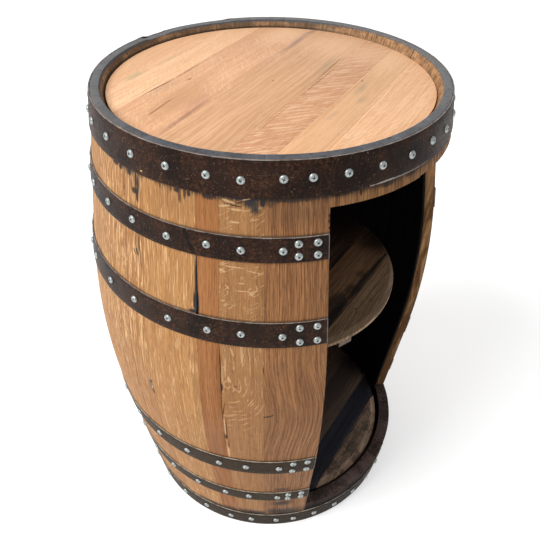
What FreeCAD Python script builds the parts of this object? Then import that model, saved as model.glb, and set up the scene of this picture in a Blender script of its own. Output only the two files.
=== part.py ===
"""A bar cabinet made from an oak cask: an open front, two revolving shelves and a new top.

Millimetres. The origin is on the floor, on the cask's axis. +Z is up, and the opening faces -Y.
"""
import FreeCAD
import Part
import math
import os

# ---- the cask's shell
height = 889.0              # 35 in, stave end to stave end
bilge_height = 457.0        # where the shell is widest
bilge_radius = 332.0
bend_half = 180.0           # half the height of the curved middle stretch
end_taper = 8.52            # degrees, lean of the straight ends
stave_thickness = 24.0
rim_land = 13.0             # flat width left on the stave ends
chime_bevel = 19.0          # height of the inner bevel at the stave ends

# stave widths round the bilge, from the one left of the opening's left jamb, clockwise from above
left_widths = [98.0, 69.0, 36.0, 99.0, 43.0, 96.0, 50.0, 46.0]
back_widths = [72.0, 89.0, 63.0, 86.0, 73.0, 68.0, 94.0, 80.0, 57.0, 83.0, 72.0, 87.0, 59.0, 79.0]
# the staves cut away at the opening, from its right jamb to its left
opening_widths = [64.0, 64.0, 64.0, 58.0, 57.0, 58.0, 64.0, 54.0]

# ---- the opening
sill_height = 80.0
header_depth = 70.0         # from the rim down to the opening's upper edge

# ---- hoops: name, low edge, high edge, whether the opening cuts it, and the overlap's direction
hoop_thickness = 2.0
hoop_clearance = 0.3
hoop_lap = 56.0             # length of the riveted overlap
hoops = [
    ("top_chime_hoop", height - 51.4, height, False, 84.0),
    ("upper_quarter_hoop", height - 144.2, height - 106.6, True, 82.0),
    ("upper_bilge_hoop", bilge_height + 144.8, bilge_height + 189.0, True, 97.0),
    ("lower_bilge_hoop", bilge_height - 199.9, bilge_height - 153.0, True, 71.0),
    ("lower_quarter_hoop", 130.4, 166.6, True, 104.0),
    ("bottom_chime_hoop", 0.0, 50.0, False, 88.0),
]
raw_end = 0.8               # how far a cut hoop stops short of the jamb

# ---- fasteners
screw_head_radius = 6.0
screw_head_height = 3.2
screw_shank_radius = 2.4
screw_length = 20.0
screw_clearance = 0.05      # between a shank and the wood
hoop_hole_clearance = 0.4
seat_lift = 0.08            # a flat head on a round hoop touches only along a line
screw_wander = 1.5          # how far the screws stray from a true line
wander_step = 2.4           # radians from one screw's stray to the next
dome_shoulder = 0.3         # height of a domed head's edge, as a share of the head's height
dome_middle = (0.62, 0.86)  # a point on the dome, as shares of the head's radius and height
tip_taper = 1.5             # length of a screw's point, in shank radii
overshoot = 2.5             # how far a drilled hole runs on past a face
jamb_inset = 17.0           # from the jamb to the nearer column of its four screws
jamb_column = 26.0          # between the two columns
edge_inset = 9.5            # from a hoop's edge to those screws
jamb_single = 0.28          # share of a jamb stave's width to its single screw
jamb_extra = 0.72           # and to the second one on a whole hoop
rivet_head_radius = 4.5
rivet_head_height = 2.4
rivet_shank_radius = 2.5
rivet_pitch = 25.0          # between the two rivets of an overlap
wood_screw_head = 4.0
wood_screw_height = 2.2
wood_screw_shank = 2.0

# ---- new top
panel_gap = 0.7             # between its edge and the wall where the wall is narrowest
panel_recess = 13.0         # below the rim
panel_thickness = 20.0
panel_turn = 4.2            # degrees, the boards' direction from +X
panel_widths = [87.0, 49.0, 58.0, 103.0, 104.0, 58.0, 59.0]
block_height = 26.0
block_depth = 20.0
block_width = 44.0
block_count = 6
block_gap = 0.2             # between a block's back and the wall
block_start = 30.0          # degrees, the first block's direction
block_screw_length = 34.0
block_screw_depth = 5.0     # how deep the heads sit in the blocks
block_screw_rise = 10.5     # from a block's underside to the screw into the wall

# ---- heads: the boards have a bevelled edge that fits a groove in the staves
head_thickness = 22.0
head_edge = 6.0             # thickness left at the edge
head_bevel = 12.0           # width of the bevel
bottom_head_turn = 12.0
groove_depth = 5.0
groove_clearance = 0.3
bottom_head_widths = [74.0, 96.0, 104.0, 98.0, 86.0, 70.0]
lower_shelf_gap = 4.8       # between its edge and the wall, at its underside's height
lower_shelf_turn = 1.0
lower_shelf_widths = [47.0, 44.0, 92.0, 104.0, 89.0, 77.0, 61.0]
upper_shelf_radius = 243.0
upper_shelf_top = 508.0
upper_shelf_turn = 0.5
upper_shelf_bevel = 8.0     # a head from a smaller cask, with a narrower bevel
upper_shelf_widths = [55.0, 78.0, 96.0, 104.0, 88.0, 65.0]

# ---- two battens under the upper shelf, halved over each other at the axis
batten_turn = 68.0          # degrees, the first batten's direction
batten_width = 28.0
batten_depth = 17.0
batten_inset = 10.0         # from the shelf's edge to a batten's end
batten_screw_length = 32.0
batten_screw_near = 85.0    # from the axis to the two screws in each arm
batten_screw_far = 165.0

# ---- ball bearing under the lower shelf
bearing_height = 8.0
race_gap = 1.0              # between the two races
race_inner = 104.0
race_width = 46.0
ball_inset = 11.0           # from a race's outer edge to the middle of its track
ball_radius = 2.6
ball_clearance = 0.08
ball_count = 30
race_screw_inset = 13.0     # from a race's inner edge to its screws
race_screw_head = 3.4
race_screw_shank = 1.7
race_screw_sink = 1.7
race_screw_length = 14.0
race_screw_count = 4

# ---- post between the shelves
post_radius = 24.15
post_wall = 3.6
post_clearance = 0.05
collar_wall = 7.85          # outside the pipe
collar_height = 24.0
flange_thickness = 6.0
flange_width = 26.0         # outside the collar
post_end_gap = 0.4          # from the pipe's end to the shelf
flange_screw_count = 4
flange_screw_length = 21.0

# ---- derived
ORIGIN = FreeCAD.Vector(0, 0, 0)
UP = FreeCAD.Vector(0, 0, 1)
full_turn = 360.0
half_turn = full_turn / 2
taper = math.radians(end_taper)
bend_radius = bend_half / math.sin(taper)
header_height = height - header_depth
panel_top = height - panel_recess
panel_bottom = panel_top - panel_thickness
lower_shelf_bottom = sill_height - head_thickness
race_thickness = (bearing_height - race_gap) / 2
race_outer = race_inner + race_width
ball_circle = race_outer - ball_inset
race_screw_circle = race_inner + race_screw_inset
bearing_bottom = lower_shelf_bottom - bearing_height
bottom_head_bottom = bearing_bottom - head_thickness
upper_shelf_bottom = upper_shelf_top - head_thickness
batten_bottom = upper_shelf_bottom - batten_depth
batten_length = 2 * (upper_shelf_radius - batten_inset)
collar_radius = post_radius + collar_wall
flange_radius = collar_radius + flange_width
flange_screw_circle = (collar_radius + flange_radius) / 2
far = 4 * height            # longer than anything in the cabinet

os.makedirs("parts", exist_ok=True)


def save(name, solids):
    """One solid, or a list of separate ones, goes to its own STEP file."""
    solids = solids if isinstance(solids, list) else [solids]
    shape = solids[0] if len(solids) == 1 else Part.makeCompound(solids)
    shape.exportStep("parts/" + name + ".step")
    print(name, len(solids), round(shape.Volume))


def shell_radius(z):
    """Outer radius of the staves at a height: a round middle with straight tangent ends."""
    away = abs(z - bilge_height)
    if away <= bend_half:
        return bilge_radius - bend_radius + math.sqrt(bend_radius ** 2 - away ** 2)
    edge = bilge_radius - bend_radius * (1 - math.cos(taper))
    return edge - (away - bend_half) * math.tan(taper)


def inner_radius(z):
    return shell_radius(z) - stave_thickness


def section(points):
    """A closed face in the XZ plane from (radius, height) points; a triple of points is an arc."""
    edges = []
    last = points[0]
    for item in points[1:] + [points[0]]:
        if isinstance(item[0], tuple):
            middle, end = item
            arc = Part.Arc(*[FreeCAD.Vector(r, 0, z) for r, z in (last, middle, end)])
            edges.append(arc.toShape())
            last = end
        else:
            edges.append(Part.makeLine(FreeCAD.Vector(last[0], 0, last[1]),
                                       FreeCAD.Vector(item[0], 0, item[1])))
            last = item
    return Part.Face(Part.Wire(edges))


def spin(points, start=0.0, sweep=full_turn):
    """The section turned about the cask's axis, from one direction through an angle."""
    solid = section(points).revolve(ORIGIN, UP, sweep)
    solid.rotate(ORIGIN, UP, start)
    return solid


def direction(degrees):
    a = math.radians(degrees)
    return FreeCAD.Vector(math.cos(a), math.sin(a), 0)


def slab(low, high):
    """Everything between two heights."""
    return Part.makeBox(far, far, high - low, FreeCAD.Vector(-far / 2, -far / 2, low))


def cylinder(base, axis, radius, length):
    return Part.makeCylinder(radius, length, base, axis)


def place(master, base, axis):
    """A copy of a master made along +Z, moved to a point and pointed along an axis."""
    copy = master.copy()
    copy.Placement = FreeCAD.Placement(base, FreeCAD.Rotation(UP, axis))
    return copy


def screw_master(head_radius, head_height, shank_radius, length):
    """A domed screw: its head sits on z = 0 and its shank points down."""
    shoulder = head_height * dome_shoulder
    crown = (head_radius * dome_middle[0], head_height * dome_middle[1])
    tip = shank_radius * tip_taper
    return spin([(0, head_height), (crown, (head_radius, shoulder)), (head_radius, 0),
                 (shank_radius, 0), (shank_radius, tip - length), (0, -length)])


def flush_master(head_radius, sink, shank_radius, length):
    """A countersunk screw: its head's flat top lies on z = 0."""
    tip = shank_radius * tip_taper
    return spin([(0, 0), (head_radius, 0), (shank_radius, -sink),
                 (shank_radius, tip - length), (0, -length)])


def drill(shapes, holes):
    """Each shape with the holes that reach it."""
    drilled = []
    for shape in shapes:
        near = [h for h in holes if shape.BoundBox.intersect(h.BoundBox)]
        drilled.append(shape.cut(near) if near else shape)
    return [solid for shape in drilled for solid in shape.Solids]


# ---------------------------------------------------------------- staves
opening_share = sum(opening_widths) / sum(left_widths + back_widths + opening_widths)
half_opening = half_turn * opening_share
left_jamb = -90.0 - half_opening
right_jamb = -90.0 + half_opening
head_middle = bottom_head_bottom + head_thickness / 2
bottom_head_radius = inner_radius(head_middle) + groove_depth


def stave_spans():
    """(start, sweep, cut) of each stave, clockwise from the left jamb."""
    widths = left_widths + back_widths + opening_widths
    whole = sum(widths)
    spans = []
    edge = left_jamb
    for number, width in enumerate(widths):
        sweep = full_turn * width / whole
        cut = number >= len(left_widths + back_widths)
        spans.append((edge - sweep, sweep, cut))
        edge -= sweep
    return spans


def stave_points():
    low, high = bilge_height - bend_half, bilge_height + bend_half
    edge_low = head_middle - head_edge / 2 - groove_clearance
    edge_high = head_middle + head_edge / 2 + groove_clearance
    old_low, old_high = height - edge_high, height - edge_low
    groove = bottom_head_radius + groove_clearance
    depth = groove - inner_radius(edge_low)
    return [
        (shell_radius(0), 0), (shell_radius(low), low),
        ((bilge_radius, bilge_height), (shell_radius(high), high)),
        (shell_radius(height), height), (shell_radius(height) - rim_land, height),
        (inner_radius(height - chime_bevel), height - chime_bevel),
        (inner_radius(old_high), old_high), (inner_radius(old_high) + depth, old_high),
        (inner_radius(old_high) + depth, old_low), (inner_radius(old_low), old_low),
        (inner_radius(high), high),
        ((bilge_radius - stave_thickness, bilge_height), (inner_radius(low), low)),
        (inner_radius(edge_high), edge_high), (groove, edge_high),
        (groove, edge_low), (inner_radius(edge_low), edge_low),
        (inner_radius(chime_bevel), chime_bevel), (shell_radius(0) - rim_land, 0),
    ]


# ---------------------------------------------------------------- hoops
def hoop_seat(low, high):
    """How far off the staves a straight hoop sits at its edges, because they bulge between them."""
    bulge = shell_radius((low + high) / 2) - (shell_radius(low) + shell_radius(high)) / 2
    return hoop_clearance + bulge


def band(low, high, start, sweep, layers=1):
    inside = hoop_seat(low, high)
    outside = inside + layers * hoop_thickness
    return spin([(shell_radius(low) + inside, low), (shell_radius(low) + outside, low),
                 (shell_radius(high) + outside, high), (shell_radius(high) + inside, high)],
                start, sweep)


def lap_sweep(middle):
    return math.degrees(hoop_lap / shell_radius(middle))


def make_hoop(low, high, cut, lap):
    """A strap bent into a ring, or a ring cut at the jambs, with a riveted overlap."""
    middle = (low + high) / 2
    wide = lap_sweep(middle)
    double = band(low, high, lap - wide / 2, wide, 2)
    if not cut:
        return double.fuse(band(low, high, lap + wide / 2, full_turn - wide)).removeSplitter()
    short = math.degrees(raw_end / shell_radius(middle))
    before = band(low, high, right_jamb + short, lap - wide / 2 - right_jamb - short)
    after = band(low, high, lap + wide / 2, left_jamb + full_turn - short - lap - wide / 2)
    return double.fuse([before, after]).removeSplitter()


def on_hoop(low, high, degrees, z, layers=1):
    """The point on a hoop's outer face and the way that face points."""
    lean = math.atan2(shell_radius(low) - shell_radius(high), high - low)
    share = (z - low) / (high - low)
    radius = shell_radius(low) + (shell_radius(high) - shell_radius(low)) * share
    radius += hoop_seat(low, high) + layers * hoop_thickness
    outward = direction(degrees) * math.cos(lean) + UP * math.sin(lean)
    return direction(degrees) * radius + UP * z + outward * seat_lift, outward


def hoop_screw_places(low, high, cut, lap, spans):
    """Where a hoop's screws go: one in each stave, more at the jambs, none on the overlap."""
    middle = (low + high) / 2
    places = []
    for number, (start, sweep, gone) in enumerate(spans):
        if cut and gone:
            continue
        shares = [0.5]
        if number == 0:
            shares = [jamb_single] if cut else [jamb_single, jamb_extra]
        if number == len(left_widths + back_widths) - 1:
            shares = [1 - jamb_single] if cut else [1 - jamb_single, 1 - jamb_extra]
        for share in shares:
            degrees = start + sweep * share
            z = middle + screw_wander * math.sin(number * wander_step + low)
            off = abs((degrees - lap + half_turn) % full_turn - half_turn)
            if off > lap_sweep(middle) / 2 + math.degrees(screw_head_radius / bilge_radius):
                places.append((degrees, z))
    if cut:
        for jamb, way in ((left_jamb, -1), (right_jamb, 1)):
            for column in (jamb_inset, jamb_inset + jamb_column):
                for z in (low + edge_inset, high - edge_inset):
                    places.append((jamb + way * math.degrees(column / shell_radius(z)), z))
    return places


def make_hoops(spans):
    """All hoops, their screws and rivets, and the holes that the screws need in the staves."""
    screw = screw_master(screw_head_radius, screw_head_height, screw_shank_radius, screw_length)
    rivet_length = 2 * hoop_thickness + seat_lift
    rivet = screw_master(rivet_head_radius, rivet_head_height, rivet_shank_radius, rivet_length)
    screws, rivets, stave_holes = [], [], []
    for name, low, high, cut, lap in hoops:
        hoop_holes = []
        for degrees, z in hoop_screw_places(low, high, cut, lap, spans):
            base, outward = on_hoop(low, high, degrees, z)
            screws.append(place(screw, base, outward))
            stave_holes.append(cylinder(base, -outward, screw_shank_radius + screw_clearance,
                                        screw_length + screw_clearance))
            hoop_holes.append(cylinder(base + outward, -outward,
                                       screw_shank_radius + hoop_hole_clearance,
                                       hoop_thickness + overshoot))
        middle = (low + high) / 2
        for way in (-0.5, 0.5):
            degrees = lap + way * math.degrees(rivet_pitch / shell_radius(middle))
            base, outward = on_hoop(low, high, degrees, middle, 2)
            rivets.append(place(rivet, base, outward))
            hoop_holes.append(cylinder(base + outward, -outward,
                                       rivet_shank_radius + screw_clearance,
                                       rivet_length + overshoot))
        hoop = make_hoop(low, high, cut, lap)
        save(name, drill([hoop], hoop_holes))
    save("hoop_screws", screws)
    save("hoop_rivets", rivets)
    return stave_holes


# ---------------------------------------------------------------- boards
def split_boards(disc, widths, turn):
    """A round panel cut into edge-joined boards that run across it."""
    whole = sum(widths)
    reach = disc.BoundBox.YMax
    boards = []
    y = -reach
    for width in widths:
        step = 2 * reach * width / whole
        cutter = Part.makeBox(far, step, far, FreeCAD.Vector(-far / 2, y, -far / 2))
        cutter.rotate(ORIGIN, UP, turn)
        boards.append(disc.common(cutter).Solids[0])
        y += step
    return boards


def head_disc(radius, underside, bevel=head_bevel, tongue=0.0):
    """A cask head: thick in the middle, bevelled above and below to a thin edge or tongue."""
    low = underside + (head_thickness - head_edge) / 2
    high = low + head_edge
    top = underside + head_thickness
    brink = radius - tongue
    edge = [(radius, low), (radius, high)]
    if tongue:
        edge = [(brink, low)] + edge + [(brink, high)]
    return spin([(0, underside), (brink - bevel, underside)] + edge
                + [(brink - bevel, top), (0, top)])


def ring_places(count, radius, start, z):
    return [direction(start + full_turn * i / count) * radius + UP * z for i in range(count)]


def holes_for(places, axis, radius, length):
    return [cylinder(p - axis * length, axis, radius, length) for p in places]


# ---------------------------------------------------------------- top, blocks and their screws
def make_top():
    """The new top in its boards, the blocks it lies on, and the screws; returns wall holes."""
    screw = screw_master(wood_screw_head, wood_screw_height, wood_screw_shank, block_screw_length)
    block_low = panel_bottom - block_height
    wall_z = block_low + block_screw_rise
    blocks, screws, wall_holes, panel_holes = [], [], [], []
    for i in range(block_count):
        degrees = block_start + full_turn * i / block_count
        low_back = inner_radius(block_low) - block_gap
        high_back = inner_radius(panel_bottom) - block_gap
        sweep = math.degrees(block_width / high_back)
        block = spin([(low_back - block_depth, block_low), (low_back, block_low),
                      (high_back, panel_bottom), (low_back - block_depth, panel_bottom)],
                     degrees - sweep / 2, sweep)
        side = direction(degrees + 90.0) * (block_width / 4)
        out = direction(degrees)
        wall_head = out * (low_back - block_depth + block_screw_depth) + side + UP * wall_z
        up_head = out * (low_back - block_depth / 2) - side + UP * (block_low + block_screw_depth)
        for base, way, holes in ((wall_head, out, wall_holes), (up_head, UP, panel_holes)):
            screws.append(place(screw, base, -way))
            shank = cylinder(base, way, wood_screw_shank + screw_clearance,
                             block_screw_length + screw_clearance)
            sunk = cylinder(base - way * (block_screw_depth + overshoot), way,
                            wood_screw_head + hoop_hole_clearance,
                            block_screw_depth + overshoot)
            holes.append(shank)
            block = block.cut([shank, sunk])
        blocks.append(block.Solids[0])
    save("top_blocks", blocks)
    save("top_block_screws", screws)
    panel_radius = inner_radius(min(panel_top, height - chime_bevel)) - panel_gap
    panel = spin([(0, panel_bottom), (panel_radius, panel_bottom),
                  (panel_radius, panel_top), (0, panel_top)]).cut(panel_holes)
    for number, board in enumerate(split_boards(panel, panel_widths, panel_turn), 1):
        save("top_board_%d" % number, board)
    return wall_holes


# ---------------------------------------------------------------- bearing
def race_points(z, way):
    """A flat ring with a round ball track, seen from its flat face at height z."""
    face = z + way * race_thickness
    centre = z + way * bearing_height / 2
    track = ball_radius + ball_clearance
    half = math.sqrt(track ** 2 - (centre - face) ** 2)
    return [(race_inner, z), (race_inner, face), (ball_circle - half, face),
            ((ball_circle, centre - way * track), (ball_circle + half, face)),
            (race_outer, face), (race_outer, z)]


def make_bearing():
    """Two races with their balls and screws; returns the holes in the head and the shelf."""
    flush = flush_master(race_screw_head, race_screw_sink, race_screw_shank, race_screw_length)
    cutter = flush_master(race_screw_head + screw_clearance * 2, race_screw_sink,
                          race_screw_shank + screw_clearance, race_screw_length)
    found = []
    sides = (("bearing_lower_race", bearing_bottom, 1, 0.0),
             ("bearing_upper_race", lower_shelf_bottom, -1, 45.0))
    for name, z, way, start in sides:
        face = z + way * race_thickness
        spots = ring_places(race_screw_count, race_screw_circle, start, face)
        holes = [place(cutter, p, UP * way) for p in spots]
        save(name, spin(race_points(z, way)).cut(holes))
        save(name.replace("race", "screws"), [place(flush, p, UP * way) for p in spots])
        found.append(holes)
    balls = []
    for spot in ring_places(ball_count, ball_circle, 0.0, bearing_bottom + bearing_height / 2):
        balls.append(Part.makeSphere(ball_radius, spot))
    save("bearing_balls", balls)
    return found


# ---------------------------------------------------------------- post, flanges and battens
def make_post():
    """The pipe and its two flanges, from the lower shelf to the crossed battens."""
    low = sill_height + post_end_gap
    high = batten_bottom - post_end_gap
    bore = post_radius - post_wall
    save("post", spin([(bore, low), (post_radius, low), (post_radius, high), (bore, high)]))
    screw = screw_master(wood_screw_head, wood_screw_height, wood_screw_shank, flange_screw_length)
    hole = post_radius + post_clearance
    flanges, screws, wood_holes = [], [], []
    for z, way in ((sill_height, 1), (batten_bottom, -1)):
        plate = z + way * flange_thickness
        flange = spin([(hole, z), (flange_radius, z), (flange_radius, plate),
                       (collar_radius, plate), (collar_radius, z + way * collar_height),
                       (hole, z + way * collar_height)])
        spots = ring_places(flange_screw_count, flange_screw_circle, batten_turn, plate)
        holes = holes_for(spots, UP * way, wood_screw_shank + screw_clearance,
                          flange_screw_length + screw_clearance)
        screws += [place(screw, p, UP * way) for p in spots]
        flanges.append(flange.cut(holes))
        wood_holes.append(holes)
    save("post_flanges", flanges)
    save("flange_screws", screws)
    return wood_holes


def make_battens(flange_holes):
    """The crossed battens and the screws that go up from them into the upper shelf's boards."""
    screw = screw_master(wood_screw_head, wood_screw_height, wood_screw_shank, batten_screw_length)
    battens, screws, holes = [], [], []
    for turn, notch_low in ((batten_turn, batten_bottom),
                            (batten_turn + 90.0, batten_bottom + batten_depth / 2)):
        batten = Part.makeBox(batten_length, batten_width, batten_depth,
                              FreeCAD.Vector(-batten_length / 2, -batten_width / 2, batten_bottom))
        notch = Part.makeBox(batten_width, batten_width, batten_depth / 2,
                             FreeCAD.Vector(-batten_width / 2, -batten_width / 2, notch_low))
        batten = batten.cut(notch)
        batten.rotate(ORIGIN, UP, turn)
        spots = [direction(turn) * (way * reach) + UP * batten_bottom
                 for way in (-1, 1) for reach in (batten_screw_near, batten_screw_far)]
        own = holes_for(spots, -UP, wood_screw_shank + screw_clearance,
                        batten_screw_length + screw_clearance)
        screws += [place(screw, p, -UP) for p in spots]
        battens.append(batten.cut(own + flange_holes))
        holes += own
    save("shelf_battens", battens)
    save("batten_screws", screws)
    return holes + flange_holes


# ---------------------------------------------------------------- the cabinet
def make_staves(spans, holes):
    points = stave_points()
    for number, (start, sweep, cut) in enumerate(spans, 1):
        stave = spin(points, start, sweep)
        pieces = [stave]
        if cut:
            pieces = [stave.common(slab(-1, sill_height)), stave.common(slab(header_height, far))]
        save("stave_%02d" % number, drill(pieces, holes))


def make_heads(bottom_holes, lower_holes, upper_holes):
    """The cask's bottom head and the two shelves, which are heads too."""
    wall = inner_radius(head_middle - head_edge / 2) - groove_clearance
    bottom = head_disc(bottom_head_radius, bottom_head_bottom, tongue=bottom_head_radius - wall)
    bottom = bottom.cut(bottom_holes)
    save("bottom_head", split_boards(bottom, bottom_head_widths, bottom_head_turn))
    lower_shelf_radius = inner_radius(lower_shelf_bottom) - lower_shelf_gap
    lower = head_disc(lower_shelf_radius, lower_shelf_bottom).cut(lower_holes)
    save("lower_shelf", split_boards(lower, lower_shelf_widths, lower_shelf_turn))
    upper = head_disc(upper_shelf_radius, upper_shelf_bottom, upper_shelf_bevel)
    upper = upper.cut(upper_holes)
    save("upper_shelf", split_boards(upper, upper_shelf_widths, upper_shelf_turn))


def main():
    spans = stave_spans()
    stave_holes = make_hoops(spans)
    wall_holes = make_top()
    make_staves(spans, stave_holes + wall_holes)
    bottom_holes, lower_holes = make_bearing()
    foot_holes, crown_holes = make_post()
    upper_holes = make_battens(crown_holes)
    make_heads(bottom_holes, lower_holes + foot_holes, upper_holes)


main()
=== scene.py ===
import math
import random

import bmesh
import bpy
from mathutils import Matrix, Vector


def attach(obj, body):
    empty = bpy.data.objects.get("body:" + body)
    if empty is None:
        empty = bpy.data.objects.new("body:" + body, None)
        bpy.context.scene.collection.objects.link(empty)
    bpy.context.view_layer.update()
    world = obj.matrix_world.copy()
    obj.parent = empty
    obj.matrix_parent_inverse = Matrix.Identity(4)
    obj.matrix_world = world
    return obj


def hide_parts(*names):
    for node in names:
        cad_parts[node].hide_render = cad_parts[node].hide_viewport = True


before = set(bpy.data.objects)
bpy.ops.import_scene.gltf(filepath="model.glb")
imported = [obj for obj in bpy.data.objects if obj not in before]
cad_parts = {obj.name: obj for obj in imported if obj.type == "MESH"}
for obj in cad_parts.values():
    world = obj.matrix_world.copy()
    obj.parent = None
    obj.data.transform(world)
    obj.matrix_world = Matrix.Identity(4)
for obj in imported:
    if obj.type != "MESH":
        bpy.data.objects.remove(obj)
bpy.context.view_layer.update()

random.seed(53)


# ---- picking things, as with the mouse
def pick(*pieces):
    if bpy.context.mode != "OBJECT":
        bpy.ops.object.mode_set(mode="OBJECT")
    bpy.ops.object.select_all(action="DESELECT")
    for piece in pieces:
        piece.select_set(True)
    bpy.context.view_layer.objects.active = pieces[0]


def openEdit(piece):
    pick(piece)
    bpy.ops.object.mode_set(mode="EDIT")
    bpy.ops.mesh.select_mode(type="VERT")
    bpy.ops.mesh.select_all(action="DESELECT")


def closeEdit():
    bpy.ops.object.mode_set(mode="OBJECT")


def choose(piece, test, kind="verts"):
    # in edit mode: selects the verts, edges or faces that pass the test
    bpy.ops.mesh.select_mode(type={"verts": "VERT", "edges": "EDGE", "faces": "FACE"}[kind])
    shape = bmesh.from_edit_mesh(piece.data)
    for group in (shape.verts, shape.edges, shape.faces):
        for item in group:
            item.select = False
    for item in getattr(shape, kind):
        if test(item):
            item.select_set(True)
    shape.select_flush_mode()
    bmesh.update_edit_mesh(piece.data)


def slide(x=0, y=0, z=0):
    bpy.ops.transform.translate(value=(x, y, z))


def duplicate(piece, name):
    pick(piece)
    bpy.ops.object.duplicate()
    copy = bpy.context.object
    copy.name = name
    return copy


def applyPlace():
    bpy.ops.object.transform_apply(location=True, rotation=True, scale=True)


def started(name):
    # names the piece just added, and fixes its place in its mesh
    piece = bpy.context.object
    piece.name = name
    applyPlace()
    return piece


def turnAbout(piece, degrees):
    # turns a piece about the cask's axis and fixes the turn in its mesh
    pick(piece)
    piece.rotation_euler.z = math.radians(degrees)
    applyPlace()


def remove(piece):
    pick(piece)
    bpy.ops.object.delete()


def turnFacesOut():
    bpy.ops.mesh.select_all(action="SELECT")
    bpy.ops.mesh.normals_make_consistent(inside=False)


def extrude(z, x=0):
    bpy.ops.mesh.extrude_region_move(TRANSFORM_OT_translate={"value": (x, 0, z)})


def narrow(ratio, z=0):
    bpy.ops.transform.resize(value=(ratio, ratio, 1), center_override=(0, 0, z))


def spinRound(sweep, steps):
    bpy.ops.mesh.select_all(action="SELECT")
    bpy.ops.mesh.spin(steps=steps, angle=-math.radians(sweep), center=(0, 0, 0), axis=(0, 0, 1))


def bisectAt(place, across, dropInner, dropOuter):
    bpy.ops.mesh.select_all(action="SELECT")
    bpy.ops.mesh.bisect(plane_co=place, plane_no=across, use_fill=True, clear_inner=dropInner,
                        clear_outer=dropOuter)


def useModifier(piece, kind, **settings):
    pick(piece)
    modifier = piece.modifiers.new(kind.title(), kind)
    for key, value in settings.items():
        setattr(modifier, key, value)
    bpy.ops.object.modifier_apply(modifier=modifier.name)


def roundEdges(piece, width, segments=2, angle=35):
    useModifier(piece, "BEVEL", width=width, segments=segments, limit_method="ANGLE",
                angle_limit=math.radians(angle))


def smooth(piece, angle=32):
    pick(piece)
    bpy.ops.object.shade_smooth_by_angle(angle=math.radians(angle))


def joinAll(pieces, name):
    pick(*pieces)
    if len(pieces) > 1:
        bpy.ops.object.join()
    joined = bpy.context.object
    joined.name = name
    return joined


def paintGrain(piece, where, name="grain"):
    # a vector for each corner of the surface, which the wood's pattern follows
    layer = piece.data.attributes.new(name, "FLOAT_VECTOR", "POINT")
    for vert in piece.data.vertices:
        layer.data[vert.index].vector = where(vert.co)


def sortFaces(piece, materials, rule):
    # rule gives each face the number of its material
    piece.data.materials.clear()
    for material in materials:
        piece.data.materials.append(material)
    for face in piece.data.polygons:
        face.material_index = rule(face.center, face.normal)


# ---- wiring nodes: every function adds to the material begun last
wiring = {}


def beginMaterial(name):
    wiring["material"] = bpy.data.materials.new(name)
    wiring["material"].use_nodes = True
    wiring["tree"] = wiring["material"].node_tree


def feed(socket, value):
    if isinstance(value, bpy.types.NodeSocket):
        wiring["tree"].links.new(value, socket)
    elif value is not None:
        socket.default_value = value


def newNode(kind, *values, **settings):
    node = wiring["tree"].nodes.new("ShaderNode" + kind)
    for key, setting in settings.items():
        setattr(node, key, setting)
    for socket, value in zip(node.inputs, values):
        feed(socket, value)
    return node


def calc(operation, *values):
    return newNode("Math", *values, operation=operation).outputs[0]


def times(a, b):
    return calc("MULTIPLY", a, b)


def timesPlus(a, b, c):
    return calc("MULTIPLY_ADD", a, b, c)


def awayFrom(value, level):
    return calc("ABSOLUTE", calc("SUBTRACT", value, level))


def toned(tint, tone):
    return tuple(tone * part for part in tint)


def blend(factor, a, b):
    node = newNode("Mix", factor, data_type="RGBA")
    for socket, value in ((node.inputs[6], a), (node.inputs[7], b)):
        feed(socket, (*value, 1) if isinstance(value, tuple) else value)
    return node.outputs[2]


def attribute(name):
    return newNode("Attribute", attribute_name=name).outputs["Vector"]


def objectPlace():
    return newNode("TexCoord").outputs["Object"]


def stretch(vector, scale, shift=(0, 0, 0), tilt=0, kind="POINT"):
    return newNode("Mapping", vector, shift, (0, 0, tilt), scale, vector_type=kind).outputs[0]


def noise(vector, scale, detail=2, roughness=.5, distortion=0):
    # scale is a number of spots per metre, or one for each direction
    if isinstance(scale, tuple):
        vector, scale = stretch(vector, scale), 1
    node = newNode("TexNoise", vector)
    for key, value in (("Scale", scale), ("Detail", detail), ("Roughness", roughness),
                       ("Distortion", distortion)):
        node.inputs[key].default_value = value
    return node.outputs[0]


def span(value, low, high, start=0, end=1, kind="SMOOTHSTEP"):
    return newNode("MapRange", value, low, high, start, end, interpolation_type=kind).outputs[0]


def split(vector):
    return newNode("SeparateXYZ", vector).outputs


def length(vector):
    return newNode("VectorMath", vector, operation="LENGTH").outputs["Value"]


def endMaterial(colour, rough, gloss, height, depth, metal=0):
    # every material ends alike, with its fixed values on the shader's own sockets
    shader = wiring["tree"].nodes["Principled BSDF"]
    feed(shader.inputs["Base Color"], colour)
    feed(shader.inputs["Roughness"], rough)
    shader.inputs["Specular IOR Level"].default_value = gloss
    shader.inputs["Metallic"].default_value = metal
    bump = newNode("Bump")
    for key, value in (("Strength", 1), ("Distance", depth), ("Height", height)):
        feed(bump.inputs[key], value)
    feed(shader.inputs["Normal"], bump.outputs[0])
    return wiring["material"]


def spot(vector, place, ragged, soft=0):
    # a ragged oval: 1 in its middle, 0 outside; its place is x, y, half width, half height, tilt
    x, y, wide, tall, tilt = place
    away = length(stretch(vector, (wide, tall, 1e4), (x, y, 0), tilt, "TEXTURE"))
    off = timesPlus(ragged, 1.3, calc("SUBTRACT", away, .65))
    return span(off, .55 - .5 * soft, 1.05 + .25 * soft, 1, 0)


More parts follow.
